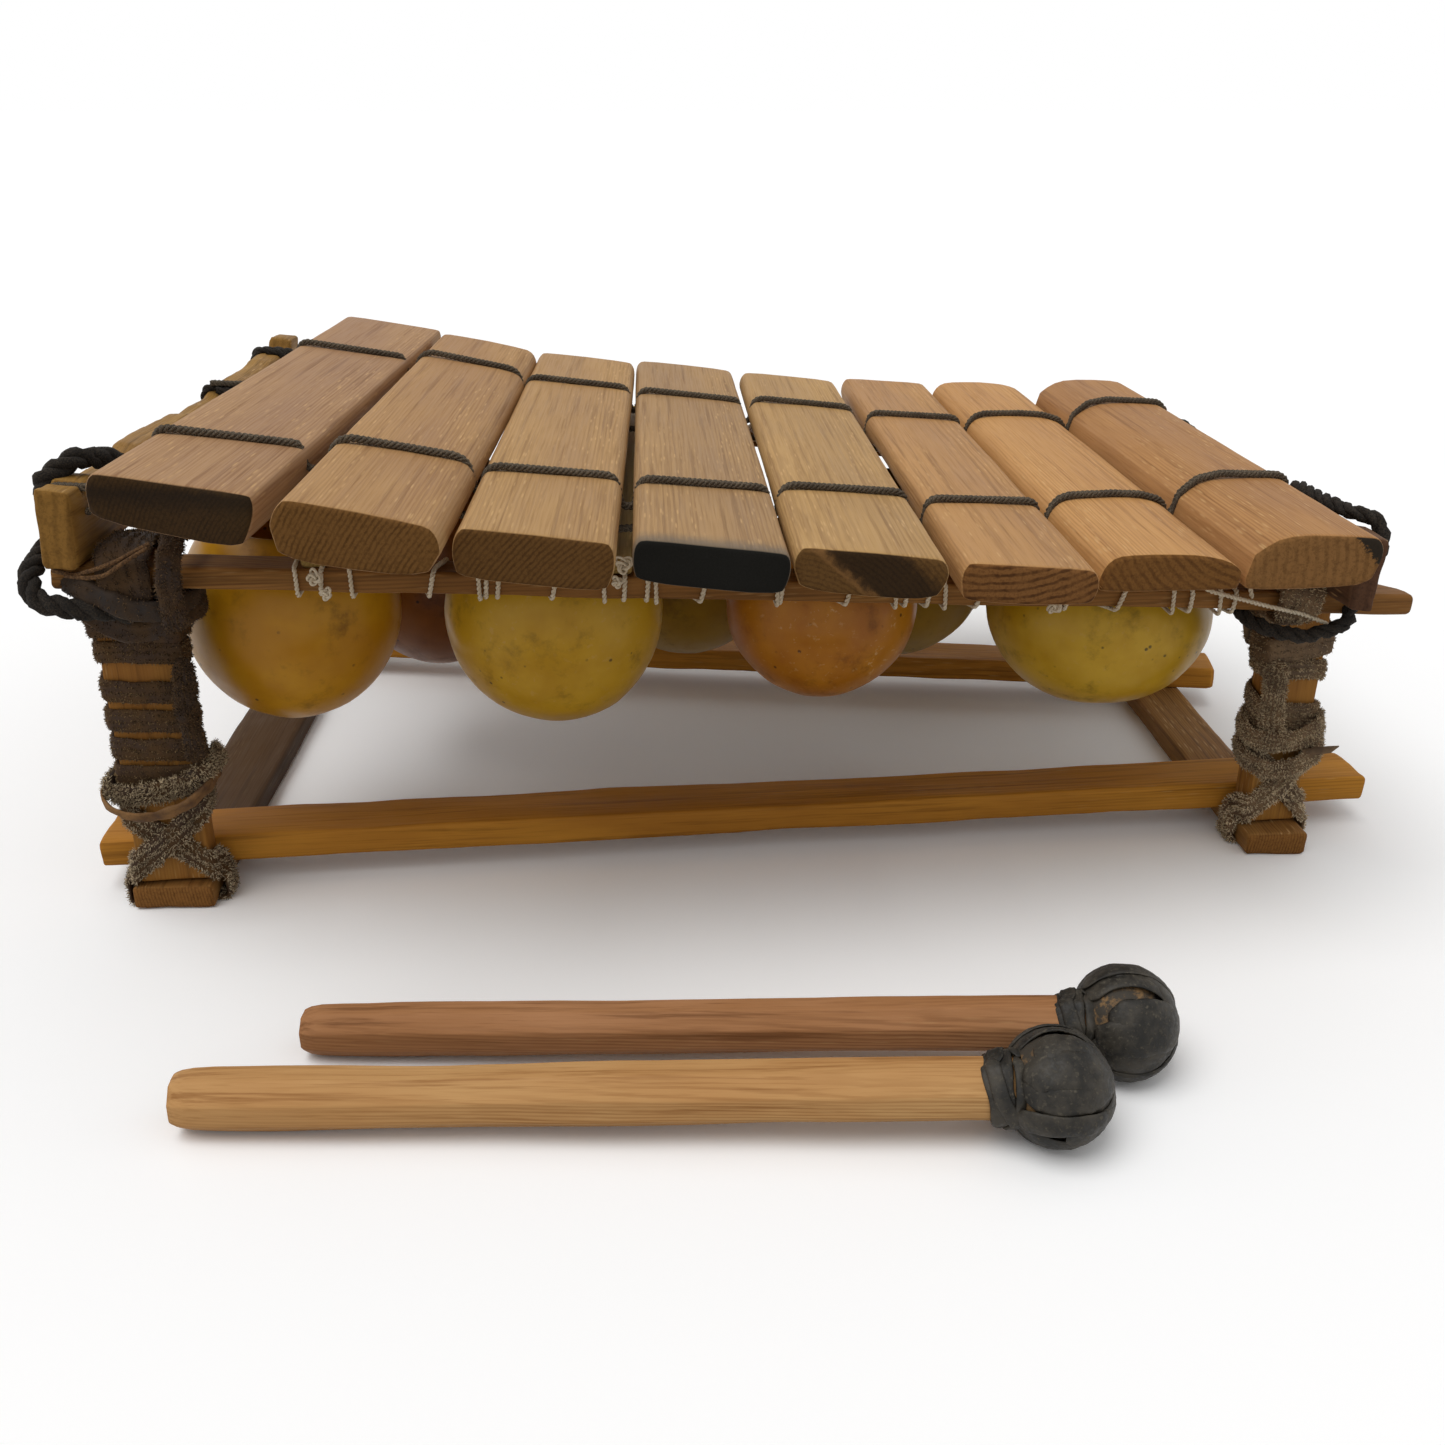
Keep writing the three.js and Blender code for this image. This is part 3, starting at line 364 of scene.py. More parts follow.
def softCopy(node, name, axis, loopStep, ease):
    # a node's shape with its hard edges eased and loops along it for the wobble
    shape = nodeShape(node)
    lids = [face for face in shape.faces if abs(face.normal.dot(axis)) > 0.97]
    bmesh.ops.dissolve_faces(shape, faces=lids, use_verts=False)
    joinTriangles(shape, 12)
    hard = [edge for edge in shape.edges if edge.calc_face_angle(0) > radians(32)]
    bmesh.ops.bevel(shape, geom=hard, affect="EDGES", offset=ease, segments=2, profile=0.5,
                    material=-1, clamp_overlap=True)
    reach = [vert.co.dot(axis) for vert in shape.verts]
    low, high = min(reach), max(reach)
    count = max(int((high - low) / loopStep), 2)
    for step in range(1, count):
        level = low + (high - low) * step / count
        bmesh.ops.bisect_plane(shape, geom=[*shape.verts, *shape.edges, *shape.faces], dist=1e-6,
                               plane_co=axis * level, plane_no=axis)
    piece = shapeToObject(shape, name)
    bake(piece, ("SUBSURF", {"levels": 1, "render_levels": 1}))
    return piece


def hewnCopy(node, name, voxel, rounds):
    piece = shapeToObject(nodeShape(node), name)
    bake(piece, ("REMESH", {"mode": "VOXEL", "voxel_size": voxel}),
         ("SMOOTH", {"factor": 0.5, "iterations": rounds}))
    return piece


def ringsOf(node, sides):
    # the sections of a tube or strip node, from one lid to the other, as lists of places
    shape = nodeShape(node)
    bmesh.ops.dissolve_limit(shape, angle_limit=radians(0.3), verts=shape.verts,
                             edges=shape.edges)
    lids = [face for face in shape.faces if len(face.verts) == sides]
    lid = min(lids, key=lambda face: (sum(len(vert.link_edges) for vert in face.verts),
                                      face.calc_area()))
    corners = [vert.co.copy() for vert in lid.verts]
    shape.free()
    shape = nodeShape(node)
    ring = [min(shape.verts, key=lambda vert: (vert.co - corner).length) for corner in corners]
    rings, seen = [], set(ring)
    while ring:
        rings.append([vert.co.copy() for vert in ring])
        after = dict.fromkeys(edge.other_vert(vert) for vert in ring for edge in vert.link_edges)
        ring = [vert for vert in after if vert not in seen]
        seen.update(ring)
    shape.free()
    return rings


def inMetres(points):
    return [Vector(point) * mm for point in points]


def eased(values, rounds):
    # each value is drawn to its neighbours, and the two ends stay
    for _ in range(rounds):
        inner = [(a + b * 2 + c) / 4 for a, b, c in zip(values, values[1:], values[2:])]
        values = [values[0], *inner, values[-1]]
    return values


def evenly(stations, step, rounds):
    # stations, each with its place first, at even steps and with their corners eased
    route = [stations[0]]
    for start, end in zip(stations, stations[1:]):
        count = max(ceil((end[0] - start[0]).length / step), 1)
        route += [[a.lerp(b, place / count) for a, b in zip(start, end)]
                  for place in range(1, count + 1)]
    return list(zip(*[eased(part, rounds) for part in zip(*route)]))


def spread(points, step, rounds=2):
    return [place for place, in evenly([[point] for point in points], step, rounds)]


def easeStations(stations, step, rounds=3):
    return [(place, across.normalized(), out.normalized())
            for place, across, out in evenly(stations, step, rounds)]


def tangents(route):
    pairs = zip([route[0], *route], [*route[1:], route[-1]])
    return [(after - before).normalized() for before, after in pairs]


def carried(route):
    # two directions across each point, carried along without twist
    side = None
    for here, ahead in zip(route, tangents(route)):
        if side is None:
            side = ahead.cross(upwards)
            if side.length < 0.2:
                side = ahead.cross(Vector((0, 1, 0)))
        side = (side - ahead * side.dot(ahead)).normalized()
        yield here, side, ahead.cross(side)


def levelAt(levels, turn):
    # where each turn stands at its front, and the strip changes level behind
    turn = min(max(turn, 0), len(levels) - 1.001)
    low, high = levels[int(turn):int(turn) + 2]
    share = turn - int(turn)
    return low + (high - low) * share * share * (3 - 2 * share)


def windRound(tree, start, axis, turns, advance, gap, zero, reach=0.05, begin=0.0):
    # stations of a strip or cord that goes round, each with the way across it and outwards.
    # It moves on by its advance at each turn, or passes the levels in a list.
    steps = 44  # in one turn
    axis = Vector(axis).normalized()
    first = Vector(zero)
    first = (first - axis * first.dot(axis)).normalized()
    second = axis.cross(first)
    stations = []
    for step in range(int(turns * steps) + 1):
        turn = begin + step / steps
        way = first * cos(turn * 2 * pi) + second * sin(turn * 2 * pi)
        level = levelAt(advance, turn) if isinstance(advance, list) else advance * turn
        middle = Vector(start) + axis * level
        hit = tree.ray_cast(middle + way * reach, -way, reach)[0]
        stations.append(((hit or middle) + way * gap, axis, way))
    return stations


def layStrands(route, count, reach, rise, pitch, plaited=False):
    # twisted strands go round the route, plaited ones weave across it
    lines = []
    for strand in range(count):
        line, angle, before = [], 0.0, route[0]
        for here, side, up in carried(route):
            angle += (here - before).length / pitch * 2 * pi
            before = here
            own = angle + strand * 2 * pi / count
            lift = sin(2 * own if plaited else own)
            line.append(here + side * reach * cos(own) + up * rise * lift)
        lines.append(line)
    return lines


def knotLine(place, size, turn):
    # a small overhand knot, drawn as a closed trefoil
    line, steps = [], 40
    for step in range(steps + 1):
        angle = step / steps * 2 * pi
        x = sin(angle) + 2 * sin(2 * angle)
        z = cos(angle) - 2 * cos(2 * angle)
        flat = Vector((x * cos(turn) - z * sin(turn), -sin(3 * angle),
                       x * sin(turn) + z * cos(turn)))
        line.append(Vector(place) * mm + flat * size * mm / 3)
    return line


def drawLines(name, lines, radius, roundness=1, tip=1.0, caps=True):
    curve = bpy.data.curves.new(name, "CURVE")
    curve.dimensions = "3D"
    curve.bevel_depth = radius
    curve.bevel_resolution = roundness
    curve.use_fill_caps = caps
    for line in lines:
        spline = curve.splines.new("POLY")
        spline.points.add(len(line) - 1)
        for point, place in zip(spline.points, line):
            point.co = (*place, 1)
        spline.points[-1].radius = tip
    piece = newObject(name, curve)
    mesh = finalMesh(piece)
    bpy.data.objects.remove(piece)
    bpy.data.curves.remove(curve)
    return newObject(name, mesh)


keyLooks = {
    "loopStep": 0.009,
    "ease": 0.0008,
    "flank": 0.02,  # the widening grows over this way out from a key's middle
    # each key's turn in degrees, how many millimetres each side is widened by so that the gaps
    # look narrow, its tones, and the tones, depth, scale and pith of the rings on its ends, whose
    # end tones are darker end grain and also painted shade of the end faces
    "each": [
        (-2, 1.2, "#714b2e #9c7756 #b28d66", "#170f08 #3c2a16", 0.4, 240, (-0.05, 0.03)),
        (-1, 1.2, "#775231 #a27a50 #b58e5f", "#3c2409 #6e4c26", 0.6, 190, (-0.09, 0.06)),
        (-0.5, 1.2, "#775532 #a68053 #b89261", "#361f09 #624422", 0.6, 190, (-0.08, 0.08)),
        (0.3, 1.2, "#705032 #9d7b54 #b18d60", "#100f0c #211e18", 0.3, 240, (0.05, 0.03)),
        (-0.1, 1.2, "#795632 #a98555 #bc9662", "#34200e #644725", 0.4, 180, (0.03, 0.04)),
        (-0.2, 0.8, "#79532f #a97e51 #bc8f5c", "#3a200c #7c542e", 0.8, 120, (0.012, -0.07)),
        (0, 0.3, "#805229 #b88750 #c99962", "#3a200c #765028", 0.5, 110, (-0.03, -0.03)),
        (0.3, 0, "#6f4522 #a17448 #b68755", "#3c240c #845e36", 0.3, 90, (0.12, 0.01)),
    ],
    # scorched places on a key's front end: a line from one point to another in half widths and
    # half heights, how far the mark reaches to its left, its edge's softness, depth and tone
    "scorches": {
        1: [((-0.2, 1), (0.5, -1), -2, 1.6, 0.75, "#4a391d"),
            ((-1, 0.9), (0.9, 0.6), 0.3, 0.3, 0.6, "#171310")],
        5: [((-0.83, 0.91), (-0.08, -0.83), -0.16, 0.06, 0.8, "#7a5732"),
            ((-0.8, 0.95), (-0.02, -0.9), -0.85, 0.2, 0.78, "#17110c")],
        8: [((0.4, 1.0), (1.0, -0.4), -2, 0.05, 0.95, "#211f1b")],
    },
    # all of the front end, with a grey bloom that reaches this far onto the top
    "charred": {4: ("#171613", "#5d5850", 0.011)},
}


def scorch(number, half):
    # draws a key's marks on the wood of its front end
    def marks(tree, placed, color, ends):
        parts = addNode(tree, "SeparateXYZ", {0: placed}).outputs
        front = combine(tree, ends, between(tree, parts[0], 0, 0.02))
        ragged = spots(tree, placed, 260, 4, 0.7)
        for (u1, v1), (u2, v2), reach, soft, depth, tone in keyLooks["scorches"].get(number, []):
            long = hypot(u2 - u1, v2 - v1)
            over, down = (v2 - v1) / long, (u1 - u2) / long
            away = plus(tree, combine(tree, parts[1], over / half[0]), parts[2], down / half[2])
            away = combine(tree, away, u1 * over + v1 * down, "SUBTRACT")
            jag = combine(tree, ragged, 0.5, "SUBTRACT")
            away = plus(tree, away, jag, min(0.5, abs(reach)))
            aside = combine(tree, away, copysign(1, reach))
            past = between(tree, aside, abs(reach) + 2 * soft, abs(reach))
            mask = combine(tree, combine(tree, between(tree, aside, 0, soft), past), front)
            color = tint(tree, color, paint(tone), mask, depth)
        if number in keyLooks["charred"]:
            tone, bloom, reach = keyLooks["charred"][number]
            edge = plus(tree, parts[0], ragged, 0.006)
            edge = between(tree, edge, half[1] - reach, half[1] + 0.003)
            color = tint(tree, color, paint(bloom), edge, 0.75)
            color = mixColors(tree, front, color, paint(tone))
        return color

    return marks


def makeKeys():
    for number, looks in enumerate(keyLooks["each"], 1):
        turn, widen, tones, endTones, endDepth, endRings, pith = looks
        node = f"key_{number}"
        name = node + "_wood"
        low, high = [Vector(corner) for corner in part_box(node)]
        centre, half = (low + high) / 2, (high - low) / 2
        turn = radians(turn)
        axis = Vector((-sin(turn), cos(turn), 0))
        side = Vector((axis.y, -axis.x, 0))
        piece = softCopy(node, name, axis, keyLooks["loopStep"], keyLooks["ease"])
        wobble(piece.data, 0.00025, (60, 14, 60), number * 3.7)
        for vert in piece.data.vertices:
            share = (vert.co - centre).dot(side) / keyLooks["flank"]
            vert.co += side * max(-1, min(1, share)) * widen * mm
        material = woodMaterial(name, tones, "Y", centre, turn, scorch(number, half),
                                endTones=endTones, endDepth=endDepth, endRings=endRings, pith=pith)
        finishPiece(piece, material, [node], node)
    print("keys done")


makeKeys()

gourdLooks = {
    "tones": [
        "#4a2e06 #b0780c #c48e18", "#351802 #713d04 #864e09", "#57400a #b68812 #cca028",
        "#4e3a0c #8a6612 #9e7a1c", "#4e2c0a #a4620c #c07e1c", "#4e3c0c #8a6a14 #a07c20",
        "#56480e #b88c12 #cfa630", "#4c3a0e #86640e #9a781c",
    ],
    "flecks": {3: 0.25, 5: 0.7, 7: 0.15},  # how strong the pale scratches are
    "fleckTone": "#d0aa70",
    "rimTone": "#2a1608",
    "rim": (0.130, 0.137),  # painted shade under the keys: the shell darkens between these heights
}


def gourdMaterial(name, tones, seed, flecks):
    material, tree, shader = newMaterial(name)
    where = addNode(tree, "TexCoord").outputs["Object"]
    moved = {"Vector": where, "Location": (seed, seed * 0.7, 0)}
    placed = addNode(tree, "Mapping", moved).outputs[0]
    dark, middle, light = paints(tones)
    clouds = spots(tree, placed, 24, 4, 0.6)
    stains = spots(tree, placed, 60, 5, 0.7)
    chosen = between(tree, spots(tree, placed, 70, 2), 0.5, 0.6)
    specks = addNode(tree, "TexVoronoi", {"Vector": placed, "Scale": 160}).outputs["Distance"]
    color = mixColors(tree, between(tree, clouds, 0.35, 0.68), middle, light)
    color = tint(tree, color, dark, between(tree, stains, 0.52, 0.76), 0.6)
    color = tint(tree, color, dark, between(tree, specks, 0.16, 0.07), chosen)
    parts = addNode(tree, "SeparateXYZ", {0: where}).outputs
    # painted shade: the tops of the shells, which lie in shade under the keys, are darkened, lower
    # to the right as the rails fall
    rim = plus(tree, plus(tree, parts[2], parts[0], railFall), clouds, 0.01)
    rim = between(tree, rim, *gourdLooks["rim"])
    color = tint(tree, color, paint(gourdLooks["rimTone"]), rim, 0.85)
    if flecks:
        inputs = {"Vector": placed, "Rotation": (0.4, 0.8, 0), "Scale": (1, 0.35, 1)}
        fine = spots(tree, addNode(tree, "Mapping", inputs).outputs[0], 420, 3, 0.6)
        mask = combine(tree, between(tree, fine, 0.6, 0.7), between(tree, clouds, 0.4, 0.6))
        color = tint(tree, color, paint(gourdLooks["fleckTone"]), mask, flecks)
    rough = between(tree, stains, 0.3, 0.75, 0.3, 0.5)
    finishShader(tree, shader, color, rough, 0.28, stains, 0.12, 0.0006)
    return material


def makeGourds():
    for number, tones in enumerate(gourdLooks["tones"], 1):
        node = f"gourd_{number}"
        shape = nodeShape(node)
        joinTriangles(shape, 30)
        piece = shapeToObject(shape, node + "_shell")
        bake(piece, ("SUBSURF", {"levels": 2, "render_levels": 2}))
        wobble(piece.data, 0.0009, (22, 22, 22), number * 5.1)
        flecks = gourdLooks["flecks"].get(number, 0)
        material = gourdMaterial(node + "_shell", tones, number * 0.31, flecks)
        finishPiece(piece, material, [node])
    print("gourds done")


makeGourds()

woodLooks = {
    "voxel": 0.0013,
    "rounds": 3,
    "loopStep": 0.01,
    "ease": 0.0016,
    "rail": "#673e10 #a76e26 #c98c33",
    "top": "#3c240f #774f26 #986b38",
    "leg": "#4c2e11 #8e5e29 #ac7b39",
    "foot": "#40270f #84592c #9e7440",
    "left": "#462d10 #88632f #a47e42",  # the end boards
    "right": "#281912 #573c2b #73563f",
    "stick": "#6d5226 #9c804a #ac935f",
    "footTone": "#32200f",
    "footFade": (0.055, 0.01),  # the far part of the left foot is darker than its front end
    "drawnOut": (-0.232, 0.007, 0.005),  # the top rail's left end: where, over what way, how far
}


def footFade(tree, placed, color, ends):
    along = addNode(tree, "SeparateXYZ", {0: placed}).outputs[0]
    mask = between(tree, along, *woodLooks["footFade"])
    return tint(tree, color, paint(woodLooks["footTone"]), mask, 0.85)


def makeFrameWood():
    def dress(node, along, slot, tones, axis, centre, amount, scale, turn=0.0, **changes):
        # planed along a way, or hewn where it has none
        name = node + "_wood"
        if along is None:
            piece = hewnCopy(node, name, woodLooks["voxel"], woodLooks["rounds"])
        else:
            piece = softCopy(node, name, along, woodLooks["loopStep"], woodLooks["ease"])
        if node == "top_rail_front":
            start, way, far = woodLooks["drawnOut"]
            for vert in piece.data.vertices:
                vert.co -= along * far * min(max((start - vert.co.x) / way, 0), 1)
        wobble(piece.data, amount, scale, len(node) * 1.7)
        material = woodMaterial(name, woodLooks[tones], axis, centre, turn, **changes)
        finishPiece(piece, material, [node])

    for side, splay in splays.items():
        along = Vector((cos(splay), sin(splay), 0))
        for rail, slot, tones in (("bottom", "rail_wood", "rail"), ("top", "dark_wood", "top")):
            dress(f"{rail}_rail_{side}", along, slot, tones, "X", (0, 0, 0.02),
                  0.0008, (14, 60, 60), splay, dashDepth=0.2)
        for end in ("left", "right"):
            dress(f"leg_{side}_{end}", upwards, "leg_wood", "leg", "Z", (0.1, 0, 0),
                  0.0005, (50, 50, 18))
    for end in ("left", "right"):
        dress("foot_rail_" + end, None, "rail_wood", "foot", "Y", (0, 0, 0),
              0.0007, (40, 18, 40), marks=footFade if end == "left" else None)
        dress("end_board_" + end, None, "dark_wood", end, "Y", (0, 0, 0.1),
              0.0009, (50, 30, 50), endRings=70, endDepth=0.35)
    for number in range(1, 5):
        dress(f"gourd_stick_{number}", Vector((0, 1, 0)), "pale_wood", "stick", "Y", (0, 0, 0),
              0.0006, (60, 20, 60), bandDepth=0.15)
    print("frame wood done")


makeFrameWood()

cordLooks = {
    # strands: how many, their reach aside and upwards, their pitch and whether they are plaited
    "cord": {"sides": 8, "radius": 0.00062, "step": 0.0006,
             "strands": (5, 0.00105, 0.00075, 0.0095, True)},
    "rope": {"sides": 8, "radius": 0.0017, "step": 0.0011,
             "strands": (3, 0.00155, 0.00155, 0.016, False)},
    "twine": {"sides": 5, "radius": 0.00046, "step": 0.0005,
              "strands": (2, 0.0004, 0.0004, 0.0034, False)},
    "over": 0.0013,  # how high the middle of a key cord lies over the wood
    "dive": 0.008,  # how deep it goes between two keys
    "ends": {"key_cord": 0.002, "support_cord": 0.01},  # how far past the boards' inner faces
    "flat": 0.3,  # what is left of a support cord's height under a pressed key
}


def fibreMaterial(name, tones, scale, rough=0.85, bump=0.6):
    return mottledMaterial(name, tones, (scale, 3, 0.65, 0.35, 0.7),
                           (scale / 30, 3, 0.6, 0.4, 0.7, 0.5), rough, 0.25, (bump, 0.0003, 0))


def pressed(route, tree, radius, depth):
    # a cord over the keys lies on them and dives between them, and its ends go down to the boards
    over = []
    for place in route:
        hit = tree.ray_cast(place + upwards * 0.03, -upwards, 0.05)[0]
        over.append(hit and hit.z + radius)
    known = [index for index, level in enumerate(over) if level]
    first, last = known[0], known[-1]
    levels = [level or route[index].z - depth for index, level in enumerate(over)]
    for index, place in enumerate(route):
        away = max(first - index, index - last, 0)
        if away:
            near = levels[first if index < first else last]
            levels[index] = min(place.z, near) - min(away * 0.002, depth * 1.5)
    return [Vector((place.x, place.y, level)) for place, level in zip(route, eased(levels, 3))]


def underKeys(route):
    # each stretch of a support cord, with the key that lies on it
    trees = {f"key_{number}": nodeTree(f"key_{number}") for number in range(1, 9)}
    names, here = [], "key_1"
    for place in route:
        over = [key for key, tree in trees.items() if tree.ray_cast(place, upwards, 0.05)[0]]
        here = over[0] if over else here
        names.append(here)
    firsts = [names.index(key) for key in trees]
    return list(zip(trees, firsts, [*firsts[1:], len(route)]))


def makeCords():
    keys = nodeTree(*[f"key_{number}" for number in range(1, 9)])
    left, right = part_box("end_board_left")[1][0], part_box("end_board_right")[0][0]
    materials = {
        "cord": fibreMaterial("cordFibre", "#352d25 #7c6f5c", 3000),
        "rope": fibreMaterial("ropeFibre", "#120f0c #3d352b", 2400, 0.85, 0.9),
        "twine": fibreMaterial("twineFibre", "#c4b294 #f4ead6", 5000),
    }
    nodes = [(f"{kind}_{side}", "cord") for kind in ("support_cord", "key_cord") for side in splays]
    nodes += [(f"corner_rope_rear_{end}", "rope") for end in ("left", "right")]
    nodes += [(f"rail_twine_{side}", "twine") for side in splays]
    for node, kind in nodes:
        looks = cordLooks[kind]
        middles = [sum(ring, Vector()) / len(ring) for ring in ringsOf(node, looks["sides"])]
        route = spread(middles, looks["step"])
        cuts = [(None, 0, len(route))]
        if kind == "cord":
            past = cordLooks["ends"][node.rsplit("_", 1)[0]]
            route = [place for place in route if left - past < place.x < right + past]
        if node.startswith("key_cord"):
            route = pressed(route, keys, cordLooks["over"], cordLooks["dive"])
        if node.startswith("support_cord"):
            cuts = underKeys(route)
        lines = layStrands(route, *looks["strands"])
        for key, first, last in cuts:
            name = f"{node}_{key}_strands" if key else node + "_strands"
            piece = drawLines(name, [line[first:last + 1] for line in lines], looks["radius"])
            finishPiece(piece, materials[kind], [node])
            if key:
                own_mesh(piece)
    print("cords done")


makeCords()

ropeLooks = {
    "pitch": 0.019,
    "lumps": 0.0009,
    "step": 0.0012,
    "runs": {  # the thick dark ropes at the front corners: millimetre points along each
        "front_left": {"radius": 2.05, "points": [
            (-222, -58, 165), (-226, -64, 172), (-231, -68, 175.5), (-237, -78, 176),
            (-245, -82, 172), (-248, -78, 164), (-248.5, -68, 155), (-250, -70, 147),
            (-252.5, -86, 142.5), (-252, -96, 138), (-247.5, -99, 133), (-240, -99.5, 131),
            (-233, -99.5, 130), (-226, -96.5, 128), (-220, -92, 126), (-214, -84, 125)]},
        "front_right": {"radius": 1.5, "points": [
            (214.5, -20, 147), (215.3, -30, 148.5), (215.3, -38, 148), (216, -48, 148.5),
            (217.6, -57, 147.8), (221, -64, 148.2), (226, -67, 146), (227.6, -70, 143),
            (228, -71.5, 138), (228, -69, 133), (228, -61, 127), (227.6, -57, 119),
            (226.5, -60, 112), (222, -68, 107.5), (213, -72, 104.6), (205, -72, 103),
            (196.5, -72, 104), (189, -70, 105.8), (184.5, -65, 108), (183, -56, 110)]},
    },
    "loop": {"radius": 0.95, "gap": 0.0017, "advance": 0.004, "pitch": 0.012},
    "loops": [  # which board, where along it, how many turns
        ("left", (-238, 101, 157), 1.2), ("left", (-238, 196, 157), 1.3),
        ("right", (218, 116, 130), 1.2), ("right", (218, 140, 130), 1.3),
    ],
}
twineLooks = {
    "radius": 0.00052,
    "strands": (2, 0.00044, 0.00044, 0.0034),
    "step": 0.0007,
    "gap": 0.0009,
    "round": 1.06,  # how far round the rail a tie goes
    "turns": {  # where a tie starts along the rail, and how far it moves on
        "front": [(-99, -1), (-93.5, -3), (-42, -1.5), (8, -4), (52, -1), (113, -1.5), (161, -1),
                  (180, -4), (-155, -1.5), (-112, -10), (-70, -9), (-15, -12), (38, -12),
                  (63, -5), (86, -11), (145, -18), (-50.5, -1)],
        "rear": [(-150, -3), (-96, -8), (-60, -1), (-30, -9), (12, -2), (47, -8), (92, -1),
                 (96, -2), (140, -12)],
    },
    "knots": {  # where, and how large
        "front": [(-156, -94.5, 139, 2.6), (-152.5, -94.5, 133, 1.9), (-50.5, -88, 140, 3.2),
                  (-53, -87.5, 133.5, 1.8), (106, -76, 118, 2.4)],
        "rear": [(-100, 172, 138, 2.2), (60, 180, 128, 2.4)],
    },
    "strays": {
        "front": [[(150, -60, 132), (160, -63, 129.5), (172, -66, 127), (181, -69, 124),
                   (182.5, -70.5, 118)],
                  [(152, -69, 128), (158, -71.5, 125), (166, -73, 121.5), (178, -72, 118),
                   (190, -71, 114.5), (203, -69.5, 111), (214, -68.5, 106.5)]],
        "rear": [],
    },
    "laceRadius": 0.0008,
    "laces": [  # thin brown laces over the bound corner
        [(-208.6, -97, 152), (-214, -98.5, 149.5), (-220, -99.5, 146.5), (-227, -99.5, 144),
         (-235, -98, 141.5), (-243, -95, 142.5)],
        [(-238, -98, 141.5), (-230, -99.8, 141), (-224, -100.5, 142), (-217, -100.2, 146.5),
         (-209, -98.5, 151)],
    ],
}


def makeRopes():
    dark = fibreMaterial("darkRope", "#100d0b #3b332a", 1800, 0.9, 0.9)
    for corner, run in ropeLooks["runs"].items():
        route = spread(inMetres(run["points"]), ropeLooks["step"], 8)
        route = [place + noise.noise_vector(place * 130) * ropeLooks["lumps"] for place in route]
        thick = run["radius"] * mm
        lines = layStrands(route, 3, thick * 0.92, thick * 0.92, ropeLooks["pitch"])
        piece = drawLines(f"corner_rope_{corner}_run", lines, thick, 2)
        wobble(piece.data, 0.0006, (420, 420, 420), 3)
        finishPiece(piece, dark, ["corner_rope_" + corner])
    loop = ropeLooks["loop"]
    thick = loop["radius"] * mm
    for number, (end, place, turns) in enumerate(ropeLooks["loops"], 1):
        stations = windRound(nodeTree("end_board_" + end), Vector(place) * mm, (0, 1, 0), turns,
                             loop["advance"], loop["gap"], upwards)
        route = spread([station[0] for station in stations], ropeLooks["step"], 4)
        lines = layStrands(route, 3, thick, thick, loop["pitch"])
        finishPiece(drawLines(f"board_rope_{number}", lines, thick, 2), dark)


def makeTwine():
    pale = fibreMaterial("twineKnots", "#c4b294 #f4ead6", 5000)
    step = twineLooks["step"]
    for side, splay in splays.items():
        tree = nodeTree("top_rail_" + side)
        low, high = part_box("top_rail_" + side)
        middle = [(a + b) / 2 for a, b in zip(low, high)]
        axis = (1, tan(splay), -railFall)
        under = (0, 0.6 if side == "front" else -0.6, -1)
        routes = []
        for along, advance in twineLooks["turns"][side]:
            off = along * mm - middle[0]
            start = (along * mm, middle[1] + off * axis[1], middle[2] + off * axis[2])
            stations = windRound(tree, start, axis, twineLooks["round"], advance * mm,
                                 twineLooks["gap"], under)
            routes.append(spread([station[0] for station in stations], step, 1))
        routes += [spread(inMetres(points), step, 6) for points in twineLooks["strays"][side]]
        lines = [line for route in routes for line in layStrands(route, *twineLooks["strands"])]
        for x, y, z, size in twineLooks["knots"][side]:
            lines.append(knotLine((x, y, z), size, x))
            lines.append(knotLine((x, y - 0.8, z - 0.8), size * 0.8, y))
        piece = drawLines(f"rail_twine_{side}_ties", lines, twineLooks["radius"])
        finishPiece(piece, pale)
    laces = [spread(inMetres(points), step, 6) for points in twineLooks["laces"]]
    piece = drawLines("corner_laces", laces, twineLooks["laceRadius"])
    finishPiece(piece, fibreMaterial("lace", "#3c2816 #7d5c3a", 1500))
    print("ropes and twine done")


makeRopes()
makeTwine()


hideLooks = {
    "step": 0.0012,
    "wound": {"gap": 0.0013, "rise": 0.003, "begin": -0.45},  # off the wood, off the foot, turned
    # the levels of the turns round a leg, as shares of the way down
    "windings": {"left": (0, 0.29, 0.5, 0.71, 0.91, 1), "right": (0, 0.68, 0.97)},
    # width, thickness, raggedness, how far it is lifted, how many hairs and how long they are
    "strips": {
        "leg_wrap": (0.0088, 0.0024, 0.08, 0, 7000, 0.0009),
        "foot_lashing": (0.0125, 0.0022, 0.08, 0.0001, 6500, 0.0015),
        "corner_lashing": (0.0110, 0.0032, 0.14, 0.0007, 2500, 0.0010),
    },
    "skins": {"left": "#35210f #523a1e", "right": "#4c3a28 #7a6248"},
    "furs": {
        "leg_wrap": {"left": "#3c2a14 #8e7450", "right": "#6a5640 #cdb692"},
        "foot_lashing": {"left": "#5a4a34 #d6c2a2", "right": "#8a7458 #f0dcb8"},
        "corner_lashing": {"left": "#2e2010 #604a30", "right": "#5c4a34 #b8a080"},
    },
}


def hideMaterial(name, tones):
    return mottledMaterial(name, tones, (90, 4, 0.6, 0.35, 0.65), (1400, 4, 0.7, 0.5, 0.72, 0.6),
                           (0, 0.3, 0.7, 0.62, 0.9), 0.3, (0.6, 0.0006, 0.5))


def furMaterial(name, tones):
    return mottledMaterial(name, tones, (1300, 1, 0.5, 0.38, 0.62), (110, 3, 0.6, 0.45, 0.7, 0.5))


